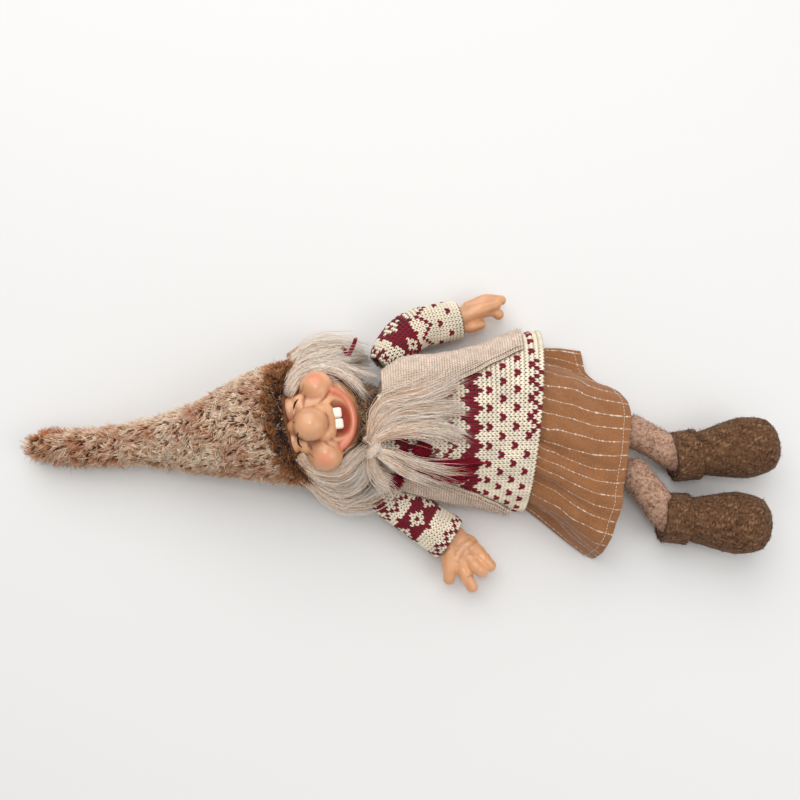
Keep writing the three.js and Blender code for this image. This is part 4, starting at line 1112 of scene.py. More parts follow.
class ELF_OT_face(bpy.types.Operator):
    """Model the cast face: oval, ball nose and cheeks, laughing mouth, teeth and closed eyes"""

    bl_idname = "elf.face"
    bl_label = "Make Face"

    def execute(self, context):
        face = self.mask()
        self.wrinkle(face)
        self.colour_mask(face)
        finished(face, finish("cast"), "head", "face_mask")
        self.teeth()
        self.eyes(face)
        return {"FINISHED"}

    def mask(self):
        """Blended forms, with the mouth carved and the lips laid in."""
        balls = [add_ball(FACE_AT, FACE_HALF, FACE_TURN, 64)]
        balls += [face_ball(form) for form in FACE_FORMS]
        mask = join_all(balls, "face")
        round_off(mask, 0.8, 3)
        carve(mask, face_ball(MOUTH_CUT, 48))
        lips = [mask]
        lips += [face_ball(form) for form in MUZZLE]
        lips += [add_ball(at, [LIP_RADIUS] * 3, 0, 16) for at in lip_places(0.2)]
        mask = join_all(lips, "face")
        round_off(mask, 0.55, 5)
        carve(mask, add_ball(FACE_AT - BACK_HOLLOW_DROP * UP, BACK_HOLLOW, FACE_TURN, 48))
        bpy.ops.mesh.primitive_cube_add(size=BACK_BLOCK * MM, location=(FACE_AT - BACK_BLOCK_DROP * UP) * MM)
        carve(mask, bpy.context.object)
        mask.data.shade_smooth()
        return mask

    def wrinkle(self, face):
        """Presses the wrinkles into the front of the face."""
        points, normals, _ = surface_of(face)
        flat = (points - FACE_AT) @ FACE_AXES
        depth = np.zeros(len(points))
        for crease in FACE_CREASES:
            line = flat_curve(crease, CREASE_STEPS)
            off = np.linalg.norm(flat[:, None, :2] - line[None], axis=2)
            fade = np.interp(off.argmin(axis=1), *CREASE_FADE)
            depth = np.maximum(depth, fade * np.exp(-(off.min(axis=1) / CREASE_WIDTH) ** 2))
        depth *= (flat[:, 2] > FRONT_RISE) & (normals[:, 2] > 0)
        move_points(face, points - CREASE_DEPTH * depth[:, None] * normals)

    def hollows(self, face, points, normals):
        """Depth of each place below the mean of its surroundings."""
        edges = np.empty(len(face.data.edges) * 2, np.int32)
        face.data.edges.foreach_get("vertices", edges)
        edges = edges.reshape(-1, 2)
        here, there = np.concatenate([edges, edges[:, ::-1]]).T
        count = np.bincount(here, minlength=len(points))[:, None]
        mean = points
        for _ in range(HOLLOW_ROUNDS):
            sums = [np.bincount(here, mean[there, k], len(points)) for k in range(3)]
            mean = np.stack(sums, axis=1) / count
        return ((mean - points) * normals).sum(axis=1)

    def colour_mask(self, face):
        """Skin darkened in its hollows by painted shade, with blushed cheeks, salmon lips and a dark mouth.
        """
        points, normals, _ = surface_of(face)
        shades = chosen("skin") * (1 + 0.06 * mottle(points, 6, SEED))[:, None]
        # Painted shade: the deeper a place lies in a hollow, the darker the skin
        shades = mixed(shades, HOLLOW_SHADE, np.clip(1.5 * self.hollows(face, points, normals), 0, 0.8))
        for *place, radius in BLUSHES:
            shades = mixed(shades, BLUSH, 0.8 * nearness(points, on_face(*place), radius))
        shades = mixed(shades, LIP, 0.4 * nearness(points, on_face(*FOREHEAD[:3]), FOREHEAD[3]))
        lip = np.max([nearness(points, at, LIP_RADIUS * 2.1) for at in lip_places(0.6)], axis=0)
        shades = mixed(shades, LIP, 1.1 * lip)
        inside = (points - on_face(*MOUTH_PAINT[:3])) @ FACE_AXES / MOUTH_PAINT[3:]
        shades = mixed(shades, MOUTH, 2.6 * (1 - np.linalg.norm(inside, axis=1)))
        paint(face, shades)

    def teeth(self):
        """Two rounded teeth under the upper lip."""
        made = []
        for along, across in TEETH:
            bpy.ops.mesh.primitive_cube_add(size=1.0, location=on_face(along, across, TOOTH_RISE) * MM,
                                            rotation=(0, TOOTH_TILT, FACE_TURN), scale=TOOTH_SIZE * MM)
            made.append(bpy.context.object)
        teeth = join_all(made, "teeth")
        modify(teeth, "BEVEL", width=TOOTH_BEVEL * MM, segments=5)
        paint(teeth, TOOTH)
        teeth.data.shade_smooth()
        finished(teeth, finish("tooth"), "head")

    def eyes(self, face):
        """Dark lines of the closed, smiling eyes, laid on the face."""
        tree = BVHTree.FromPolygons([tuple(vertex.co / MM) for vertex in face.data.vertices],
                                    [tuple(polygon.vertices) for polygon in face.data.polygons])
        lines = []
        for arc in EYE_ARCS:
            curve = flat_curve(arc, EYE_STEPS)
            lines.append([self.landed(tree, along, across) for along, across in curve])
        radii = 0.26 + 0.42 * np.sin(math.pi * np.linspace(0, 1, EYE_STEPS - 1))
        eyes = tube_object("eye_lines", np.array(lines), radii, EYE_LINE, sides=8)
        finished(eyes, finish("eye_paint"), "head")

    def landed(self, tree, along, across):
        """Place just under the face's front at a place along and across."""
        hit = tree.ray_cast(Vector(on_face(along, across, 80)), Vector((0, 0, -1)), 120)
        if hit[0] is None:
            raise RuntimeError("no face below the eye")
        return np.array(hit[0]) - EYE_SINK * UP


# Hair
# Locks: guide places, radius at the root, middle and end, strands
LEFT_LOCKS = [
    ([(-112, 17, 55), (-105, 30, 50), (-93, 36, 45), (-82, 39, 42), (-73, 43, 36)], (4, 6.0, 3.5), 560),
    ([(-111, 26, 48), (-101, 40, 38), (-88, 43, 36), (-77, 44, 34), (-69, 45, 28)], (5, 7.0, 4), 600),
    ([(-110, 38, 38), (-99, 48, 28), (-86, 49, 24), (-75, 47, 25), (-67, 45, 22)], (5, 7.5, 4.5), 540),
    ([(-112, 43, 28), (-102, 51, 17), (-88, 52, 12), (-75, 48, 13), (-66, 44, 16)], (5, 6.5, 5), 400),
    ([(-104, 31, 49), (-92, 35, 46), (-80, 32, 47), (-70, 24, 51), (-63, 16, 55)], (3, 3.5, 4), 130),
    ([(-100, 33, 48), (-86, 36, 44), (-74, 33, 44), (-67, 30, 46), (-61, 27, 49)], (3, 3.5, 4), 110),
    ([(-110, 40, 34), (-102, 52, 24), (-92, 57, 18), (-82, 57, 15)], (3, 4, 4), 70),
]
RIGHT_LOCKS = [
    ([(-104, -19, 55), (-96, -26, 48), (-81, -27, 46), (-71, -20, 53), (-62, -14, 59)], (3.5, 5.5, 2.5), 480),
    ([(-103, -21, 51), (-94, -31, 39), (-79, -37, 33), (-68, -30, 44), (-61, -17, 57)], (4.5, 6.5, 3), 560),
    ([(-104, -23, 48), (-93, -34, 34), (-78, -43, 23), (-63, -41, 28), (-53, -36, 42)], (4.5, 6.5, 4), 480),
    ([(-103, -29, 40), (-92, -38, 25), (-77, -44, 14), (-63, -43, 15)], (4.5, 6.0, 5), 380),
    ([(-98, -33, 32), (-86, -44, 18), (-75, -49, 9), (-66, -49, 8)], (3, 4, 4), 60),
]
CHEST_LOCKS = [
    ([(-62, -12, 59), (-59, 3, 61), (-51, 11, 61), (-37, 13, 60), (-22, 18, 59), (-10, 26, 56)],
     (2.5, 6, 6), 560),
    ([(-62, -12, 60), (-55, -1, 62), (-43, 5, 62), (-30, 6, 61), (-18, 8, 60), (-9, 8, 59)],
     (2.5, 6.5, 6), 640),
    ([(-62, -13, 60), (-53, -7, 62), (-40, -4, 62), (-28, -3, 61), (-17, -5, 60), (-8, -9, 58)],
     (2.5, 5.5, 5.5), 520),
    ([(-62, -14, 59), (-51, -22, 57), (-36, -29, 52), (-26, -32, 49), (-16, -36, 45)], (2.5, 3.2, 2.2), 330),
    ([(-61, -14, 60), (-48, -18, 59), (-34, -24, 57), (-19, -27, 54), (-6, -28, 50)], (2, 3.4, 5.5), 110),
    ([(-62, -15, 58), (-61, -24, 54), (-57, -31, 49), (-51, -35, 46), (-46, -40, 40)], (2.5, 4.0, 3.5), 300),
]
KNOT_LOCKS = [
    ([(-65, -18, 54), (-63, -19, 59), (-59, -15, 61), (-58, -10, 59), (-61, -8, 55)], (1.6, 2.0, 1.4), 220),
    ([(-65, -11, 55), (-64, -9, 59), (-60, -11, 61), (-58, -16, 60), (-60, -19, 55)], (1.6, 2.0, 1.4), 220),
]
# Hanks that turn with the head: piece, locks, light and solid
HANKS = [
    ("hair_left_strands", LEFT_LOCKS, 0.72, "hair_left"),
    ("hair_right_strands", RIGHT_LOCKS, 0.54, "hair_right"),
    ("hair_knot_strands", KNOT_LOCKS, 0.5, "hair_knot"),
]
CHEST_LIGHT = 0.5
CHEST_BEND = ((-0.062, 0, 0.058), (-0.034, 0, 0.058))
STRAND_POINTS = 9
STRAND_REST = 0.6
CLUMP = 11
FEWEST_STRANDS = 8
LOOSE_SHARE = 0.27
GUIDE_STEPS = 50
GUIDE_BEYOND = 10
# By share of a lock's length: its width, the strand's tone, darkened at the root by painted shade and paler
# at the end, and its thickness
WIDTH_STOPS = (0, 0.45, 1, 1.2)
ROOT_SHADE_AND_PALE_ENDS = ([0, 0.25, 1.1], [-0.3, 0.0, 0.16])
TAPER = ([0, 0.15, 0.7, 1], [0.8, 1.0, 0.9, 0.3])


class ELF_OT_hair(bpy.types.Operator):
    """Comb the mohair: hanks beside the face, the knot, and the locks over the chest"""

    bl_idname = "elf.hair"
    bl_label = "Make Hair"

    def execute(self, context):
        hair = context.scene.elf.hair
        pick = np.random.default_rng(SEED + 30)
        for name, locks, light, node in HANKS:
            finished(self.strands(name, locks, light, hair, pick), finish("mohair"), "head", node)
        chest = self.strands("hair_chest_strands", CHEST_LOCKS, CHEST_LIGHT, hair, pick)
        bent(chest, finish("mohair"), ("head", "trunk"), CHEST_BEND, "hair_tail_upper", "hair_tail_lower")
        return {"FINISHED"}

    def strands(self, name, locks, light, hair, pick):
        """Object of all strands of some locks."""
        made = []
        for places, radii, full in locks:
            count = max(FEWEST_STRANDS, int(full * hair.share))
            made.append(self.lock(places, radii, count, light, pick))
        lines, tints = (np.concatenate(part) for part in zip(*made))
        taper = np.interp(np.linspace(0, 1, STRAND_POINTS)[:-1], *TAPER)
        thick = hair.strand / MM * pick.uniform(0.7, 1.35, (len(lines), 1)) * taper
        return tube_object(name, lines, thick, tints)

    def lock(self, places, radii, count, light, pick):
        """Strands that follow a guide in clumps, with waves and loose hairs, and their colours, with painted
        shade under each lock and at its root.
        """
        share = np.linspace(0, 1, STRAND_POINTS)
        clumps = count // CLUMP + 2
        member = pick.integers(0, clumps, count)
        run, *guide = self.guide_of(places)
        ends = (pick.uniform(0.78, 1.12, clumps)[member] * pick.uniform(0.9, 1.05, count))[:, None]
        along = share * ends
        middle, beside, above = (at_stops(along, run, part) for part in guide)
        width = np.interp(along, WIDTH_STOPS, [*radii, radii[2] * 1.2])
        own = self.spread(count, pick)[:, None]
        shared = self.spread(clumps, pick)[member][:, None]
        gather = (0.66 * share**0.7)[None, :, None]
        off = own * (1 - gather) + shared * gather
        loose = (pick.random(count) < LOOSE_SHARE)[:, None, None]
        off = off + loose * pick.normal(scale=1.0, size=(count, 1, 2)) * share[None, :, None]
        sway = pick.uniform(0, FULL_TURN, (2, clumps))[:, member, None]
        wave = pick.uniform(0.4, 1.7, clumps)[member, None] * share
        frizz = pick.uniform(0, FULL_TURN, (2, count, 1))
        across = off[..., 0] * width + wave * np.sin(6 * along + sway[0])
        across = across + 0.4 * np.sin(12 * along + frizz[0])
        rise = 0.6 * off[..., 1] * width + 0.5 * wave * np.sin(5 * along + sway[1])
        rise = rise + 0.3 * np.sin(11 * along + frizz[1])
        line = middle + across[..., None] * beside + rise[..., None] * above
        line[:, :, 2] = np.maximum(line[:, :, 2], STRAND_REST)
        tone = light + 0.27 * pick.normal(size=clumps)[member] + 0.2 * pick.normal(size=count)
        # Painted shade: strands below the middle of a lock are darker and those above lighter, and strands
        # are darker at the root
        tone = tone[:, None] + 0.22 * off[..., 1] + np.interp(along, *ROOT_SHADE_AND_PALE_ENDS)
        return line, mixed(mixed(HAIR_SHADE, HAIR_MID, 2 * tone), HAIR_LIGHT, 2 * tone - 1)

    def guide_of(self, places):
        """Guide of a lock drawn on past its end: shares of its length, places, ways beside and above."""
        line = smooth_line(places, GUIDE_STEPS)
        step = line[-1] - line[-2]
        guide = np.concatenate([line, line[-1] + step * np.arange(1, GUIDE_BEYOND + 1)[:, None]])
        along = unit(np.gradient(guide, axis=0))
        side = unit(np.cross(along, UP))
        run = np.arange(len(guide)) / (GUIDE_STEPS - 1)
        return run, guide, side, np.cross(side, along)

    def spread(self, count, pick):
        """Random places in a disc of radius one."""
        turn = pick.uniform(0, FULL_TURN, count)
        out = np.sqrt(pick.random(count))
        return np.stack([out * np.cos(turn), out * np.sin(turn)], axis=1)


# Knitting
# Leg of a stitch: place across and out by the stitch's width, place ahead by its height
LEG_ACROSS = np.array([0.04, 0.22, 0.41, 0.38])
LEG_AHEAD = np.array([-0.6, -0.16, 0.34, 0.88])
LEG_OUT = np.array([0.0, 0.25, 0.24, -0.06])
# Painted shade along a stitch's leg: darker at both ends, where it sinks under its neighbours
LEG_END_SHADE = np.array([0.84, 1.0, 1.0, 0.8])
# Radii along a leg by the stitch's width
LEG_RADII = 0.27 * np.array([0.45, 1.0, 0.88])
STITCH_REACH = 0.3
TICK_GROWTH = 1.5
KNIT_WALL = 0.9
KNIT_SINK = 0.5


class Stitches(NamedTuple):
    """Places of stitches, their ways across, toward the neck and out, and their row and column numbers."""

    at: np.ndarray
    across: np.ndarray
    ahead: np.ndarray
    out: np.ndarray
    row: np.ndarray
    column: np.ndarray

    def only(self, kept):
        """Stitches that are kept."""
        return Stitches(*(part[kept] for part in self))

    def facing_from(self, middles):
        """Stitches that all face away from middles."""
        away = ((self.at - middles) * self.out).sum(axis=1, keepdims=True)
        return self._replace(out=np.where(away < 0, -self.out, self.out))


def stitch_places(grid, width, height, centre=None):
    """Stitches on an open grid whose rows run across and whose columns run to the hem."""
    lengths = arc_lengths(grid)
    if centre is not None:
        starts = [np.interp(centre, np.arange(grid.shape[1]), row) for row in lengths]
        lengths = lengths - np.array(starts)[:, None]
    runs = lengths_along(grid.mean(axis=1))
    found = []
    for number, run in enumerate(np.arange(0.5 * height, runs[-1], height)):
        level = np.interp(run, runs, np.arange(len(grid)))
        low = min(int(level), len(grid) - 2)
        share = level - low
        line = grid[low] * (1 - share) + grid[low + 1] * share
        length = lengths[low] * (1 - share) + lengths[low + 1] * share
        columns = np.arange(math.ceil(length[0] / width), math.floor(length[-1] / width) + 1)
        stops = columns * width
        before, at, beyond = (at_stops(stops + k * STITCH_REACH, length, line) for k in (-1, 0, 1))
        down = at_stops(stops, length, grid[low + 1] - grid[low])
        found.append((at, unit(beyond - before), unit(down), np.full(len(columns), number), columns))
    at, across, down, row, column = (np.concatenate(part) for part in zip(*found))
    return Stitches(at, across, -down, unit(np.cross(across, down)), row, column)


def knitted(name, stitches, width, height, tints, sides=5, grow=1.0):
    """Stitches with two legs each that meet in a point toward the hem; single ones may be grown."""
    grow = np.broadcast_to(grow, len(stitches.at))[:, None, None]
    legs = []
    for hand in (-1, 1):
        path = (stitches.across[:, None] * (hand * LEG_ACROSS * width)[None, :, None]
                + stitches.ahead[:, None] * (LEG_AHEAD * height)[None, :, None]
                + stitches.out[:, None] * (LEG_OUT * width)[None, :, None])
        legs.append(stitches.at[:, None] + grow * path)
    radii = LEG_RADII * width * np.tile(grow[:, 0], (2, 1))
    tints = np.clip(tints, 0, 1)
    # Painted shade darkens each leg toward its ends
    shades = np.concatenate([tints, tints])[:, None] * LEG_END_SHADE[None, :, None]
    return tube_object(name, np.concatenate(legs), radii, shades, sides)


def charted(stitches, chart, growth, seed):
    """Colours of stitches in cream and maroon yarn by a chart, and how much each one is grown."""
    maroon, ticks = chart(stitches.row.max() - stitches.row, stitches.column)
    tints = np.where((maroon | ticks)[:, None], chosen("maroon"), chosen("cream"))
    tints = tints * (1 + 0.06 * mottle(stitches.at, 7, seed))[:, None]
    return tints, np.select([ticks, maroon], [TICK_GROWTH, growth], 1.0)


def zigzag(column, period, height):
    """Height of a zigzag line of knitting at a column."""
    return np.abs((column % period) - period / 2) * 2 * height / period


def sweater_chart(up, column):
    """Maroon and large single stitches: rows count up from the hem, columns from the front's middle."""
    zig = zigzag(column, 4, 2)
    hem = (np.abs(up - zig) <= 0.4) & (np.abs(column - 5) <= 8)
    bands = (np.abs(up - 14 - zig) <= 1.3) | (np.abs(up - 30 - zig) <= 1.3)
    thin = np.abs(up - 19 - zig) <= 0.6
    lattice = (((column + up) % 8 == 0) | ((column - up) % 8 == 0)) & (up >= 23) & (up <= 28)
    ticks = (up % 6 == 2) & (column % 4 == 0) | (up % 6 == 5) & (column % 4 == 2)
    return hem | bands | thin | lattice, ticks & (up <= 11)


def left_sleeve_chart(up, column):
    """Maroon and large single stitches of the left sleeve: rows count up from the plain cuff."""
    line = np.abs(up - 9 - zigzag(column, 6, 3)) <= 0.5
    petal = np.abs(column % 8 - 4) + np.abs(up - 18)
    band = (up >= 14 + zigzag(column, 4, 1)) & (up <= 21 + zigzag(column, 4, 1))
    upper = np.abs(up - 25 - zigzag(column, 4, 2)) <= 0.6
    ticks = (up == 3) & (column % 6 == 0) | (up == 6) & (column % 6 == 3)
    return line | band & ~((petal > 0) & (petal <= 2)) | upper, ticks


def right_sleeve_chart(up, column):
    """Maroon stitches of the right sleeve, which has no single ones: rows count up from the zigzag cuff."""
    cuff = np.abs(up - zigzag(column, 4, 2)) <= 0.6
    beside, above = np.abs(column % 6 - 3), np.abs(up - 11)
    flower = (np.maximum(beside, above) == 1) | (beside + above == 2) & (beside * above == 0)
    band = (up >= 7 + zigzag(column, 6, 1)) & (up <= 14 + zigzag(column, 6, 1))
    line = np.abs(up - 17 - zigzag(column, 4, 2)) <= 0.5
    diamond = np.abs(column % 8 - 4) + np.abs(up - 22)
    return cuff | band & ~flower | line | (diamond > 0) & (diamond <= 3), np.zeros(len(up), bool)


# Sweater
TORSO_Y = 3.0
TORSO_Z = 17.0
FRONT = math.pi / 2
SWEATER_ROWS = 56
SWEATER_COLUMNS = 240
SWEATER_EASE = 6
# How far the cloth stops short of its solid's ends, and the hem's lean with the length over which it grows
NECK_SHORT = 0.6
HEM_SHORT = 12.0
HEM_LEAN = 0.13
HEM_LEAN_LENGTH = 45
MAROON_GROWTH = 1.12
# Stitches are left out where the vest covers them
FRONT_HEIGHT = 20
COVERED_BY = 5
COVERED_AT_HEM = 6


def torso_middles(at):
    """Places on the middle line of the torso beside places."""
    return at * [1.0, 0.0, 0.0] + [0.0, TORSO_Y, TORSO_Z]


def sweater_grid(lift=0.0):
    """Outside of the sweater, cut open along the middle of its back."""
    low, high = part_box("sweater")
    stops = np.linspace(low[0] / MM + NECK_SHORT, high[0] / MM - HEM_SHORT, SWEATER_ROWS)
    middles = torso_middles(stops[:, None] * np.ones(3))
    turn = np.linspace(-FRONT, 3 * FRONT, SWEATER_COLUMNS, endpoint=False)
    lean = np.clip(stops / HEM_LEAN_LENGTH, 0, 1) * HEM_LEAN
    ways = rings_round(middles, turn, np.zeros(SWEATER_ROWS), lean)
    grid = eased(outsides(ray_tree("sweater"), middles, ways), SWEATER_EASE)
    return grid + lift * grid_normals(grid, True)


class ELF_OT_sweater(bpy.types.Operator):
    """Knit the sweater's body with its maroon pattern"""

    bl_idname = "elf.sweater"
    bl_label = "Make Sweater"

    def execute(self, context):
        knit = context.scene.elf.knit
        grid = sweater_grid()
        inner = grid - KNIT_SINK * grid_normals(grid, True)
        # Cloth under the stitches, painted in the shade of the gaps between them
        base = mesh_object("sweater_cloth", *shell(inner, KNIT_WALL, True), KNIT_GAP_SHADE)
        finished(base, finish("knit"), "trunk", "sweater")
        width, height = knit.stitch_width / MM, knit.stitch_height / MM
        closed = np.concatenate([grid, grid[:, :1]], axis=1)[:, ::-1]
        stitches = stitch_places(closed, width, height, SWEATER_COLUMNS / 2)
        stitches = stitches.facing_from(torso_middles(stitches.at))
        tints, grow = charted(stitches, sweater_chart, MAROON_GROWTH, SEED + 40)
        shown = self.uncovered(stitches.at)
        yarn = knitted("sweater_stitches", stitches.only(shown), width, height, tints[shown],
                       grow=grow[shown])
        finished(yarn, finish("knit"), "trunk")
        return {"FINISHED"}

    def uncovered(self, at):
        """Where stitches aren't hidden under the vest."""
        off = at[:, 1] - VEST_MIDDLE
        opening = np.where(off > 0, *(np.interp(at[:, 0], *VEST_OPENINGS[side].T) for side in (1, -1)))
        front = (at[:, 2] > FRONT_HEIGHT) & (np.abs(off) < opening + COVERED_BY)
        return front | (at[:, 0] > VEST_ENDS[1] - COVERED_AT_HEM)


# Vest
VEST_ENDS = (-55.0, 27.0)
VEST_MIDDLE = 2.0
VEST_LIFT = 2.3
VEST_WALL = 0.8
# Front edges of the left and the right: place along, distance from the middle
VEST_OPENINGS = {
    1: np.array([[-60.0, 10.0], [-25.0, 17.0], [0.0, 29.0], [27.0, 44.0], [60.0, 46.0]]),
    -1: np.array([[-60.0, 18.0], [-30.0, 31.0], [-4.0, 41.0], [27.0, 52.0], [60.0, 54.0]]),
}
VEST_UNDER = math.radians(-32)
VEST_FLARE = 4.0
VEST_PUFF = 1.5
VEST_PUFF_END = 0.6
VEST_RIPPLE = 0.35
VEST_COLUMNS = 70
VEST_ROWS = 46
BAND_COLUMNS = 4
BAND_LIFT = 0.25
RIB_LIFT = 0.55
PANEL_LIFT = 0.1
VEST_FIBRES = 2400
VEST_FIBRE = 2.2
# Room beside the sleeves in which the vest has no stitches
SLEEVE_ROOMS = {"left": 14.5, "right": 16.8}
# Back: rows and columns, margin to the solid's edge, height, and size of its stitches by the front's
BACK_GRID = (24, 40)
BACK_MARGIN = 1
BACK_HEIGHT = 0.75
BACK_STITCH = 1.5


class ELF_OT_vest(bpy.types.Operator):
    """Knit the fine open vest with its ribbed front bands"""

    bl_idname = "elf.vest"
    bl_label = "Make Vest"

    def execute(self, context):
        knit = context.scene.elf.knit
        size = knit.fine_width / MM, knit.fine_height / MM
        lifted = sweater_grid(VEST_LIFT)
        for side, name in ((1, "left"), (-1, "right")):
            self.panel(name, self.front(lifted, side), side, *size)
        self.back(*size)
        return {"FINISHED"}

    def front(self, lifted, side):
        """Front panel from its ribbed edge round the side of the doll."""
        mean = lifted[:, :, 0].mean(axis=1)
        made = []
        for stop in np.linspace(*VEST_ENDS, VEST_ROWS):
            level = np.interp(stop, mean, np.arange(len(mean)))
            low = min(int(level), len(mean) - 2)
            ring = lifted[low] * (1 - level + low) + lifted[low + 1] * (level - low)
            turned = np.arctan2(ring[:, 2] - TORSO_Z, side * (ring[:, 1] - TORSO_Y))
            order = np.argsort(turned)
            angle, points = turned[order], ring[order]
            front = angle > 0
            opening = np.interp(stop, *VEST_OPENINGS[side].T)
            start = np.interp(-opening, -side * (points[front, 1] - VEST_MIDDLE), angle[front])
            made.append(at_stops(np.linspace(start, VEST_UNDER, VEST_COLUMNS), angle, points))
        grid = np.array(made)
        down = np.linspace(0, 1, VEST_ROWS)[:, None]
        out = np.linspace(0, 1, VEST_COLUMNS)[None]
        grid[:, :, 1] += side * VEST_FLARE * down**3 * out**2
        soft = VEST_PUFF * np.sin(math.pi * np.clip(out / VEST_PUFF_END, 0, 1))
        soft = soft * np.interp(down, [0, 0.2, 1], [0.2, 1, 1])
        soft = soft + VEST_RIPPLE * mottle(grid.reshape(-1, 3), 12, SEED + 49).reshape(soft.shape)
        return grid + soft[..., None] * unit(grid - torso_middles(grid))

    def panel(self, side_name, grid, side, width, height):
        """Cloth, stitches and fuzz of one front."""
        name = f"vest_{side_name}"
        turned = grid[:, ::-1] if side > 0 else grid
        # Cloth under the stitches, painted in the shade of the gaps between them
        base = mesh_object(f"{name}_cloth", *shell(turned, VEST_WALL, False), VEST_GAP_SHADE)
        finished(base, finish("knit"), "trunk", f"vest_front_{side_name}")
        stitches = stitch_places(grid, width, height)
        stitches = stitches.facing_from(torso_middles(stitches.at))
        clear = self.clear_of_arms(stitches.at)
        band = stitches.column < BAND_COLUMNS
        even = stitches.column % 2 == 0
        lift = np.where(band, BAND_LIFT + RIB_LIFT * even, PANEL_LIFT)[:, None] * stitches.out
        uneven = np.random.default_rng(SEED + 53).normal(size=len(band))
        beige = chosen("beige")
        tints = beige * (1 + 0.05 * mottle(stitches.at, 5, SEED + 50) + 0.06 * uneven)[:, None]
        # Painted shade: the sunken ribs of the band, between the raised ones, are darker
        tints = np.where((band & ~even)[:, None], tints * 0.9, tints)
        lifted = stitches._replace(at=stitches.at + lift).only(clear)
        yarn = knitted(f"{name}_stitches", lifted, width, height, tints[clear], sides=3)
        finished(yarn, finish("knit"), "trunk")
        wool = fuzz(f"{name}_fuzz", yarn, VEST_FIBRES, VEST_FIBRE, [beige, beige * 0.9], SEED + 52)
        finished(wool, finish("knit"), "trunk")

    def clear_of_arms(self, at):
        """Places that no sleeve passes through."""
        clear = np.ones(len(at), bool)
        for side, room in SLEEVE_ROOMS.items():
            clear &= np.linalg.norm(at[:, None] - ARMS[side].line[None, ::4], axis=2).min(axis=1) > room
        return clear

    def back(self, width, height):
        """Flat back of the vest, under the doll."""
        low, high = (np.array(corner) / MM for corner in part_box("vest_back"))
        stops, across = (np.linspace(low[k] + BACK_MARGIN, high[k] - BACK_MARGIN, count)
                         for k, count in enumerate(BACK_GRID))
        grid = np.stack(np.meshgrid(stops, across, [BACK_HEIGHT], indexing="ij"), axis=-1)[:, :, 0]
        # Cloth under the stitches, painted in the shade of the gaps between them
        base = mesh_object("vest_back_cloth", *shell(grid[:, ::-1], VEST_WALL, False), VEST_GAP_SHADE)
        finished(base, finish("knit"), "trunk", "vest_back")
        width, height = width * BACK_STITCH, height * BACK_STITCH
        stitches = stitch_places(grid, width, height)
        stitches = stitches._replace(out=np.tile(-UP, (len(stitches.at), 1)))
        tints = chosen("beige") * (1 + 0.1 * mottle(stitches.at, 3, SEED + 51))[:, None]
        yarn = knitted("vest_back_stitches", stitches, width, height, tints, sides=3)
        finished(yarn, finish("knit"), "trunk")


# Sleeves
WRIST_HEIGHT = 14.0
ELBOW_SHARE = 0.36
BEHIND_SHOULDER = 9.0
SLEEVE_ROWS = 44
SLEEVE_COLUMNS = 60
SLEEVE_EASE = 4
SLEEVE_REACH = 60.0
SLEEVE_MAROON_GROWTH = 1.1


class Arm(NamedTuple):
    """Line of an arm from behind its shoulder to its cuff, and the chart of its sleeve."""

    line: np.ndarray
    chart: object


def arm_line(joint, yaw, length, elbow):
    """Line of an arm that leaves its shoulder at a yaw and bends out at the elbow."""
    turn = math.radians(yaw)
    start = joint_place(joint)
    cuff = start + [length * math.cos(turn), length * math.sin(turn), WRIST_HEIGHT - start[2]]
    outward = np.sign(yaw) * np.array([-math.sin(turn), math.cos(turn), 0])
    bend = start + ELBOW_SHARE * (cuff - start) + elbow * outward
    behind = start - BEHIND_SHOULDER * unit(bend - start)
    return smooth_line([behind, start, bend, cuff], SLEEVE_ROWS)


ARMS = {
    "left": Arm(arm_line("left_shoulder", 29, 50.0, 7.5), left_sleeve_chart),
    "right": Arm(arm_line("right_shoulder", -35, 43.5, 0.0), right_sleeve_chart),
}


class ELF_OT_sleeves(bpy.types.Operator):
    """Knit the two sleeves with their flower bands"""

    bl_idname = "elf.sleeves"
    bl_label = "Make Sleeves"

    def execute(self, context):
        knit = context.scene.elf.knit
        width, height = (knit.sleeve_share * size / MM for size in (knit.stitch_width, knit.stitch_height))
        for side, arm in ARMS.items():
            self.sleeve(side, arm, width, height)
        return {"FINISHED"}

    def sleeve(self, side, arm, width, height):
        """Cloth and stitches of one sleeve."""
        body = f"{side}_arm"
        grid = self.tube(side, arm.line)
        inner = grid - KNIT_SINK * self.outward(grid)
        # Cloth under the stitches, painted in the shade of the gaps between them
        base = mesh_object(f"sleeve_{side}_cloth", *shell(inner, KNIT_WALL, True), KNIT_GAP_SHADE)
        finished(base, finish("knit"), body, f"sleeve_{side}")
        closed = np.concatenate([grid, grid[:, :1]], axis=1)
        stitches = stitch_places(closed, width, height)
        nearest = np.argmin(np.linalg.norm(stitches.at[:, None] - arm.line[None], axis=2), axis=1)
        stitches = stitches.facing_from(arm.line[nearest])
        tints, grow = charted(stitches, arm.chart, SLEEVE_MAROON_GROWTH, SEED + 60)
        yarn = knitted(f"sleeve_{side}_stitches", stitches, width, height, tints, grow=grow)
        finished(yarn, finish("knit"), body)

    def tube(self, side, line):
        """Outside of a sleeve from the armhole to the cuff."""
        way = unit(np.gradient(line, axis=0))
        level = unit(np.cross(UP, way))
        up = np.cross(way, level)
        turn = turns(SLEEVE_COLUMNS)[:, None]
        ways = np.cos(turn) * level[:, None] + np.sin(turn) * up[:, None]
        return eased(outsides(ray_tree(f"sleeve_{side}"), line, ways, SLEEVE_REACH), SLEEVE_EASE)

    def outward(self, grid):
        """Normals of a sleeve that point away from its middle."""
        normals = grid_normals(grid, True)
        away = grid - grid.mean(axis=1, keepdims=True)
        return -normals if (normals * away).sum() < 0 else normals


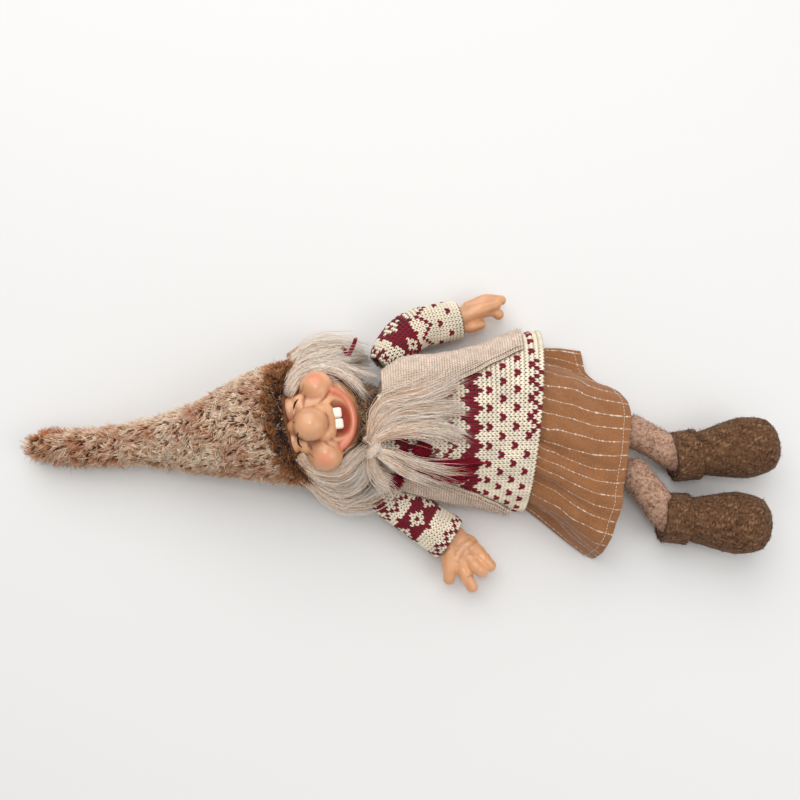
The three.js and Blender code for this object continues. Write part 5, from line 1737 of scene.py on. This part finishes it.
# Hands
# Digits of each hand: places, radius at the root and at the tip
DIGITS = {
    "left": [
        ([(0, 79, 13), (11, 83.8, 14), (21, 83.6, 13.5)], (4.6, 3.3)),
        ([(-6, 71, 16.5), (6, 76, 17.8), (17.5, 80.3, 16.5)], (5.2, 3.6)),
        ([(8, 76, 13.5), (15, 77, 13), (19.3, 74.8, 11.8)], (4.2, 3.6)),
        ([(-4, 67.5, 13), (2, 66.8, 12.8), (7.6, 68.2, 11.8)], (4.8, 3.4)),
    ],
    "right": [
        ([(-14.2, -77, 13.6), (-14.4, -86, 14.0), (-15, -92.5, 13.2)], (6.2, 3.7)),
        ([(-8.0, -82, 13.5), (-4.2, -91, 14.4), (-0.8, -97.4, 13.2)], (5.0, 3.7)),
        ([(-2.0, -80.5, 14), (2.4, -85.6, 17.2), (5.0, -87.6, 15.6)], (4.6, 4.2)),
        ([(3.0, -76.5, 13.5), (7.8, -81.6, 14.8), (10.6, -84.6, 13.8)], (5.0, 3.8)),
    ],
}
DIGIT_STEPS = 14
KNUCKLE = 0.03
# Palms: place, half sizes and turn
PALMS = {
    "left": [
        ((-2, 72.5, 13.6), (9.5, 8.2, 5.6), 0.4),
        ((-10, 68.5, 14), (8, 7.0, 5.8), 0.4),
    ],
    "right": [
        ((-7, -75.5, 13.4), (10.5, 12.2, 5.4), -1.05),
        ((-12, -69, 13.6), (9, 9.4, 5.8), -1.05),
        ((-13.5, -77, 14.0), (8.5, 6.4, 5.8), -1.4),
        ((-0.5, -74.5, 13.8), (8.0, 6.0, 5.4), -0.9),
    ],
}
# Creases across the palm of the open right hand
PALM_CREASES = [
    [(-9.5, -82.5), (-6.5, -77), (-2, -72.5), (2, -69.5)],
    [(-11.5, -78), (-9, -73.5), (-5, -69.5), (-2, -67.5)],
    [(-3.4, -91.6), (-1.4, -90.4), (0.4, -90.6)],
]
PALM_CREASE_WIDTH = 1.3
PALM_CREASE_DEPTH = 0.6
PALM_HEIGHT = 13
HAND_TONE = np.array([1.02, 1.0, 0.96])


class ELF_OT_hands(bpy.types.Operator):
    """Model the cast hands from blended balls"""

    bl_idname = "elf.hands"
    bl_label = "Make Hands"

    def execute(self, context):
        skin = chosen("skin")
        for side, digits in DIGITS.items():
            balls = [add_ball(at, half, turn, 24) for at, half, turn in PALMS[side]]
            for places, radii in digits:
                balls += self.digit(places, *radii)
            hand = join_all(balls, f"hand_{side}_cast")
            round_off(hand, 0.55, 5)
            points, _, _ = surface_of(hand)
            shades = skin * (1 + 0.06 * mottle(points, 6, SEED + 70))[:, None]
            if side == "right":
                # Painted shade darkens the pressed creases
                shades = mixed(shades, skin * 0.62, 0.7 * self.crease(hand, points))
            paint(hand, shades * HAND_TONE)
            finished(hand, finish("cast"), f"{side}_arm", f"hand_{side}")
        return {"FINISHED"}

    def digit(self, places, root, tip):
        """Row of balls along a digit, a little thicker at its knuckles."""
        balls = []
        for share, at in zip(np.linspace(0, 1, DIGIT_STEPS), smooth_line(places, DIGIT_STEPS)):
            radius = (root + (tip - root) * share) * (1 + KNUCKLE * math.cos(FULL_TURN * (share - 0.5) * 2))
            balls.append(add_ball(at, [radius] * 3, 0, 14))
        return balls

    def crease(self, hand, points):
        """Presses the creases into the upper side of a hand and gives their share at each point, which sets
        their painted shade.
        """
        marks = np.concatenate([flat_curve(line, 24) for line in PALM_CREASES])
        off = np.linalg.norm(points[:, None, :2] - marks[None], axis=2).min(axis=1)
        share = np.clip(1 - off / PALM_CREASE_WIDTH, 0, 1) * (points[:, 2] > PALM_HEIGHT)
        move_points(hand, points - PALM_CREASE_DEPTH * share[:, None] * UP)
        return share


# Skirt
# Sections: place along, right edge, left edge, flange, top height, dome
SKIRT_ROWS = np.array([
    [27.0, -44.0, 41.0, 44.0, 52.0, 0.75],
    [38.0, -52.0, 43.0, 50.0, 53.5, 0.78],
    [48.0, -60.0, 42.0, 54.5, 52.5, 0.82],
    [60.0, -70.0, 38.0, 54.5, 48.0, 0.72],
    [72.0, -79.0, 32.0, 53.0, 44.0, 0.68],
    [84.0, -84.0, 27.5, 52.5, 41.0, 0.66],
    [96.0, -85.0, 23.0, 52.0, 39.0, 0.66],
])
SKIRT_STEPS = 66
FRONT_COLUMNS = 180
STEP_COLUMNS = 26
UNDER_COLUMNS = 94
SKIRT_COLUMNS = FRONT_COLUMNS + STEP_COLUMNS + UNDER_COLUMNS
SKIRT_EASE = 6
SKIRT_BODIES = ("trunk", "lap")
SKIRT_BEND = ((0.044, 0, 0.025), (0.082, 0, 0.025))
# Heights: right edge, left edge and its rise over a flange, flange, cloth below and the least of all
RIGHT_EDGE = 2.0
LEFT_EDGE = 3.0
STEP_RISE = 5.0
FLANGE_HEIGHT = 2.4
UNDER_HEIGHT = 0.9
SKIRT_REST = 0.8
# How far the cloth reaches past the left edge before it counts as a flange
FLANGE_LEAST = 3
# Hem on the front: place across, place along; and place along of the hem below
FRONT_HEM = ([-84, -68, -50, -20, 5, 14, 21, 26, 29, 52], [77, 83, 88, 92.5, 97, 96, 91, 83, 75, 73])
UNDER_HEM = 72.5
HEM_ROUNDS = 5
# Folds: place across at the waist, depth, width, drift to the hem, by the share of the front's half width
SKIRT_FOLDS = [
    (0.3, 5.0, 0.075, -0.55),
    (-0.15, 6.0, 0.08, -0.6),
    (-0.46, 6.0, 0.075, -0.7),
    (0.08, 2.2, 0.1, -0.5),
    (0.62, 1.8, 0.1, -0.25),
]
FRONT_MIDDLE = -22
FRONT_HALF = 52
FOLD_SPREAD = 1.2
# By share of the length from waist to hem: depth of a fold and of a gather
FOLD_DEPTHS = ([0, 0.15, 0.35, 0.55, 0.85, 1], [0.4, 0.9, 1.0, 0.75, 0.45, 0.3])
GATHER_DEPTHS = ([0, 0.4, 1], [0.5, 0.25, 0.1])
GATHERS = 34
RIPPLE = 0.35
# Shift of the stripes by share of the front, and how much of it there is by share of the length
STRIPE_SHIFT = ((0, 0.33, 0.52, 0.71, 1.0), (0, 0.04, 0.12, 0.11, 0))
SHIFT_LENGTHS = ([0.25, 1], [1, 0])
SEAM_STRIPE = 0.13
# Running stitch: pitch, places along it, heights above the cloth and radii
THREAD_PITCH = 2.2
THREAD_END = 2.4
THREAD_PLACES = np.array([0.0, 0.5, 1.3, 1.8])
THREAD_HEIGHTS = np.array([-0.1, 0.14, 0.14, -0.1])
THREAD_RADII = np.array([0.2, 0.24, 0.24])


class ELF_OT_skirt(bpy.types.Operator):
    """Drape the striped skirt from the waist over the lap to its sewn hem"""

    bl_idname = "elf.skirt"
    bl_label = "Make Skirt"

    def execute(self, context):
        skirt = context.scene.elf.skirt
        wall = skirt.wall / MM
        grid = self.drape()
        run = np.stack([lengths_along(grid[:, column]) for column in range(SKIRT_COLUMNS)], axis=1)
        cloth = mesh_object("skirt_cloth", *shell(grid, wall, True), chosen("cotton"))
        self.unwrap(cloth, grid, run, skirt.stripe / MM)
        bent(cloth, cotton_material(), SKIRT_BODIES, SKIRT_BEND, "skirt")
        thread = self.hem_stitches(grid, run, skirt.hem / MM, wall)
        bent(thread, finish("yarn"), SKIRT_BODIES, SKIRT_BEND)
        return {"FINISHED"}

    def section(self, row):
        """Outline of the skirt at one place, from the right edge over the top and back below."""
        _, right, left, flange, top, dome = row
        over = np.linspace(math.pi, 0, 90)
        middle = (right + left) / 2
        half = (left - right) / 2
        low = LEFT_EDGE + STEP_RISE * (flange > left + FLANGE_LEAST)
        across = middle + half * np.cos(over)
        arch = np.sin(over) ** dome
        rise = np.where(across < middle, RIGHT_EDGE + (top - RIGHT_EDGE) * arch, low + (top - low) * arch)
        front = np.stack([across, rise], axis=1)
        step = np.linspace((left + 0.8, low - 2.0), (flange, FLANGE_HEIGHT), 16)
        under = np.linspace((flange - 0.6, UNDER_HEIGHT), (right + 0.8, UNDER_HEIGHT), 80)
        parts = ((front, FRONT_COLUMNS), (step, STEP_COLUMNS), (under, UNDER_COLUMNS))
        return np.concatenate([evenly(part, count) for part, count in parts])

    def hang(self):
        """Smooth grid of the cloth from the waist to the hem."""
        outlines = np.array([self.section(row) for row in SKIRT_ROWS])
        stops = SKIRT_ROWS[:, 0]
        across, rise = outlines[-1].T
        hem = np.where(rise > FLANGE_HEIGHT + 0.1, np.interp(across, *FRONT_HEM), UNDER_HEM)
        for _ in range(HEM_ROUNDS):
            hem = (np.roll(hem, 1) + 2 * hem + np.roll(hem, -1)) / 4
        grid = np.zeros((SKIRT_STEPS, SKIRT_COLUMNS, 3))
        for column in range(SKIRT_COLUMNS):
            along = np.linspace(stops[0], hem[column], SKIRT_STEPS)
            grid[:, column, 0] = along
            grid[:, column, 1:] = at_stops(along, stops, outlines[:, column])
        return eased(grid, SKIRT_EASE)

    def drape(self):
        """Grid of the cloth with its folds, gathers and ripples."""
        grid = self.hang()
        share = np.linspace(0, 1, SKIRT_STEPS)[:, None]
        reach = (grid[:, :, 1] - FRONT_MIDDLE) / FRONT_HALF
        normals = -grid_normals(grid, True)
        upper = np.clip((grid[:, :, 2] - 3) / 8, 0, 1)
        depth = np.cos(turns(SKIRT_COLUMNS) * GATHERS) * np.interp(share, *GATHER_DEPTHS)
        depth = depth + RIPPLE * mottle(grid.reshape(-1, 3), 9, SEED + 80).reshape(grid.shape[:2])
        for at, deep, wide, drift in SKIRT_FOLDS:
            near = np.exp(-((reach - at - drift * share) / (wide * (1 + FOLD_SPREAD * share))) ** 2)
            depth = depth - deep * near * np.interp(share, *FOLD_DEPTHS)
        grid = grid + (depth * upper)[..., None] * normals
        grid[:, :, 2] = np.maximum(grid[:, :, 2], SKIRT_REST)
        return grid

    def unwrap(self, cloth, grid, run, stripe):
        """Counts stripes round the cloth and measures millimetres from the waist."""
        columns = np.arange(SKIRT_COLUMNS)
        steps = np.linalg.norm(np.roll(grid[-1], -1, axis=0) - grid[-1], axis=1)
        count = (np.cumsum(steps) - steps[0]) / stripe
        part = columns / (FRONT_COLUMNS - 1)
        share = np.interp(np.linspace(0, 1, SKIRT_STEPS), *SHIFT_LENGTHS)[:, None]
        moved = (part + share * np.interp(part, *STRIPE_SHIFT)) * (FRONT_COLUMNS - 1)
        spots = np.stack([np.interp(moved, columns, count).ravel(), run.ravel()], axis=1)
        mesh = cloth.data
        corners = np.empty(len(mesh.loops), np.int32)
        mesh.loops.foreach_get("vertex_index", corners)
        values = spots[corners % len(spots)].reshape(-1, 4, 2)
        stripes = values[:, :, 0]
        jump = np.ptp(stripes, axis=1, keepdims=True) > count[-1] / 2
        values[:, :, 0] = stripes + (jump & (stripes < count[-1] / 2)) * (count[-1] + SEAM_STRIPE)
        layer = mesh.uv_layers.new(name="UVMap")
        layer.data.foreach_set("uv", values.ravel())

    def hem_stitches(self, grid, run, depth, wall):
        """Running stitches of pale thread along the hem."""
        every = np.arange(SKIRT_COLUMNS)
        left = (run[-1] - run)[1:]
        level = np.array([np.interp(-depth, -left[:, k], np.arange(1, SKIRT_STEPS)) for k in every])
        low = level.astype(int)
        share = (level - low)[:, None]
        seam = grid[low, every] * (1 - share) + grid[np.minimum(low + 1, SKIRT_STEPS - 1), every] * share
        normals = -grid_normals(grid, True)[low, every]
        seam = np.concatenate([seam, seam[:1]])
        normals = np.concatenate([normals, normals[:1]])
        length = lengths_along(seam)
        spans = np.arange(0, length[-1] - THREAD_END, THREAD_PITCH)[:, None] + THREAD_PLACES
        rise = (wall + THREAD_HEIGHTS)[:, None]
        lines = at_stops(spans, length, seam) + at_stops(spans, length, normals) * rise
        return tube_object("skirt_hem_thread", lines, THREAD_RADII, chosen("slub") * 0.85, sides=4)


# Legs and boots
KNEE_BLEND = (-9.0, 7.0)
KNEE_RADIUS = 10.4
LEG_FIBRES = 2800
LEG_FIBRE = 2.2
LEG_FIBRES_FROM = 88
LEG_FLECK_SIZE = 1.4
BOOT_FIBRE = 1.5
BOOT_FLECK_SIZE = 1.5
# Boot pieces: rounds of smoothing and fibres
BOOT_PARTS = {"boot": (5, 4900), "boot_cuff": (2, 2400)}


def felted(piece, ground, fleck, light, size, seed):
    """Colours a piece as mottled felt."""
    points, _, _ = surface_of(piece)
    shades = mixed(ground, fleck, 0.25 + 0.45 * mottle(points, size, seed))
    paint(piece, mixed(shades, light, -0.25 + 0.5 * mottle(points, size * 0.7, seed + 1)))


class ELF_OT_legs(bpy.types.Operator):
    """Cover the legs with flecked felt"""

    bl_idname = "elf.legs"
    bl_label = "Make Legs"

    def execute(self, context):
        tone = chosen("leg")
        for side in ("left", "right"):
            nodes = [f"thigh_{side}", f"shin_{side}"]
            knee = joint_place(f"{side}_knee")
            leg = soft_copy(f"leg_{side}_felt", nodes, 0.9, 16, ball=(knee, [KNEE_RADIUS] * 3))
            felted(leg, tone, LEG_FLECK, tone * 1.1, LEG_FLECK_SIZE, SEED + 90)
            shades = [tone, tone * 1.2, LEG_FLECK]
            loose = fuzz(f"leg_{side}_fuzz", leg, LEG_FIBRES, LEG_FIBRE, shades, SEED + 91,
                         lambda at: at[:, 0] > LEG_FIBRES_FROM)
            bodies = ("lap", f"{side}_leg")
            span = [tuple((knee + [off, 0, 0]) * MM) for off in KNEE_BLEND]
            bent(leg, finish("felt"), bodies, span, *nodes)
            bent(loose, finish("felt"), bodies, span)
        return {"FINISHED"}


class ELF_OT_boots(bpy.types.Operator):
    """Shape the felt boots with their turned cuffs"""

    bl_idname = "elf.boots"
    bl_label = "Make Boots"

    def execute(self, context):
        tone = chosen("boot")
        for side in ("left", "right"):
            for part, (smooth, fibres) in BOOT_PARTS.items():
                node = f"{part}_{side}"
                piece = soft_copy(f"{node}_felt", [node], 0.85, smooth)
                felted(piece, tone, BOOT_DARK, BOOT_LIGHT, BOOT_FLECK_SIZE, SEED + 95)
                finished(piece, finish("felt"), f"{side}_leg", node)
                shades = [tone, BOOT_LIGHT, BOOT_DARK]
                loose = fuzz(f"{node}_fuzz", piece, fibres, BOOT_FIBRE, shades, SEED + 96)
                finished(loose, finish("felt"), f"{side}_leg")
        return {"FINISHED"}


# Maroon yarn
TIE_LINES = [
    [(-76, 42, 37), (-75, 46, 36), (-73.5, 51, 31), (-72, 57, 24)],
    [(-76, 42, 37), (-77.5, 45, 37), (-78.5, 48, 34), (-80, 50, 31)],
]
# Twist of the tie: radius, turns and plies
TIE_TWIST = (0.7, 4, 3)
PLY_RADIUS = 0.62
PLY_STEPS = 60
TASSEL_STRANDS = 160
TASSEL_STEPS = 14
TASSEL_START = (-38.0, -20.5, 54.0)
TASSEL_ENDS = np.array([(-0.5, -22.5, 50.0), (-7.0, -33.0, 45.5)])
TASSEL_RADIUS = 0.44
# Woolly balls: middle, fibres and half sizes
TASSEL_KNOT = ((-31.5, -15.5, 55.5), 520, np.array([7.4, 5.4, 3.6]))
SHOULDER_TUFT = ((-47.2, -33.2, 45.0), 560, np.array([5.4, 6.0, 5.0]))
WOOL_RADII = np.array([0.4, 0.4, 0.4, 0.34, 0.26])
WOOL_TONES = (0.6, 1.4)


def plied(line, radius, twists, plies):
    """Lines of the plies of a twisted yarn."""
    middle = smooth_line(line, PLY_STEPS)
    along = unit(np.gradient(middle, axis=0))
    side = unit(np.cross(along, UP + [0.2, 0.1, 0]))
    lift = np.cross(side, along)
    share = np.linspace(0, 1, PLY_STEPS)[:, None]
    angles = [FULL_TURN * (twists * share + ply / plies) for ply in range(plies)]
    return np.array([middle + radius * (np.cos(angle) * side + np.sin(angle) * lift) for angle in angles])


def woolly(name, middle, count, half, pick):
    """Woolly ball of curled maroon fibres with half sizes."""
    ways = unit(pick.normal(size=(count, 3)) + [0, 0, 0.25])
    lengths = pick.uniform(0.55, 1.1, count)[:, None]
    share = np.linspace(0, 1, len(WOOL_RADII) + 1)[None, :, None]
    curl = pick.normal(scale=1.0, size=(count, 1, 3))
    lines = np.array(middle) + share * (ways * lengths * half)[:, None] + share * (1 - share) * 3 * curl
    return tube_object(name, lines, WOOL_RADII, chosen("maroon") * pick.uniform(*WOOL_TONES, (count, 1, 1)))


class ELF_OT_yarn(bpy.types.Operator):
    """Lay the maroon yarn: the tie by the left hank, the tassel on the chest and the tuft on the shoulder"""

    bl_idname = "elf.yarn"
    bl_label = "Make Yarn"

    def execute(self, context):
        pick = np.random.default_rng(SEED + 110)
        lines = np.concatenate([plied(line, *TIE_TWIST) for line in TIE_LINES])
        tie = tube_object("hair_tie_yarn", lines, PLY_RADIUS, chosen("maroon"), sides=6)
        finished(tie, finish("yarn"), "head", "hair_tie")
        finished(self.tassel(pick), finish("yarn"), "trunk", "yarn_tassel")
        finished(woolly("tassel_knot", *TASSEL_KNOT, pick), finish("yarn"), "trunk")
        finished(woolly("shoulder_tuft", *SHOULDER_TUFT, pick), finish("yarn"), "trunk", "yarn_tuft")
        return {"FINISHED"}

    def tassel(self, pick):
        """Fan of loose strands that bow over the chest."""
        count = TASSEL_STRANDS
        start = np.array(TASSEL_START) + pick.normal(scale=(2.2, 1.6, 0.5), size=(count, 3))
        share = pick.random(count)[:, None]
        ends = TASSEL_ENDS[0] * (1 - share) + TASSEL_ENDS[1] * share
        ends = ends + pick.normal(scale=(3.2, 0.9, 0.4), size=(count, 3))
        along = np.linspace(0, 1, TASSEL_STEPS)[None, :, None]
        bow = np.concatenate([0 * share, -1.5 - 2.5 * share, 0.6 + pick.random((count, 1))], axis=1)[:, None]
        lines = start[:, None] + along * (ends - start)[:, None] + 4 * along * (1 - along) * bow
        phase = pick.uniform(0, FULL_TURN, (count, 1, 1))
        lines = lines + 0.3 * np.sin(20 * along + phase) * np.array([0.3, 1.0, 0.8])
        shades = chosen("maroon") * pick.uniform(*WOOL_TONES, (count, 1, 1))
        return tube_object("tassel_strands", lines, TASSEL_RADIUS, shades, sides=4)


class ELF_PT_panel(bpy.types.Panel):
    """Buttons for the doll's pieces"""

    bl_idname = "ELF_PT_panel"
    bl_label = "Elf Doll"
    bl_space_type = "VIEW_3D"
    bl_region_type = "UI"
    bl_category = "Elf Doll"

    def draw(self, context):
        settings = context.scene.elf
        for group_name in ElfSettings.__annotations__:
            group = getattr(settings, group_name)
            box = self.layout.box()
            for key in group.__annotations__:
                box.prop(group, key)
        for operator in OPERATORS:
            self.layout.operator(operator.bl_idname)


SETTINGS = (
    ElfColourSettings, ElfPlushSettings, ElfKnitSettings, ElfHairSettings, ElfSkirtSettings, ElfStageSettings,
    ElfSettings,
)
OPERATORS = (
    ELF_OT_stage, ELF_OT_stuffing, ELF_OT_hat, ELF_OT_head, ELF_OT_face, ELF_OT_hair, ELF_OT_legs,
    ELF_OT_sweater, ELF_OT_vest, ELF_OT_sleeves, ELF_OT_hands, ELF_OT_skirt, ELF_OT_boots, ELF_OT_yarn,
)


def register():
    for item in (*SETTINGS, *OPERATORS, ELF_PT_panel):
        bpy.utils.register_class(item)
    bpy.types.Scene.elf = PointerProperty(type=ElfSettings, name="Elf doll",
                                          description="Settings of the elf doll")


def unregister():
    del bpy.types.Scene.elf
    for item in reversed((*SETTINGS, *OPERATORS, ELF_PT_panel)):
        bpy.utils.unregister_class(item)


def main():
    register()
    for operator in OPERATORS:
        getattr(bpy.ops.elf, operator.bl_idname.split(".")[1])()


if __name__ == "__main__":
    main()
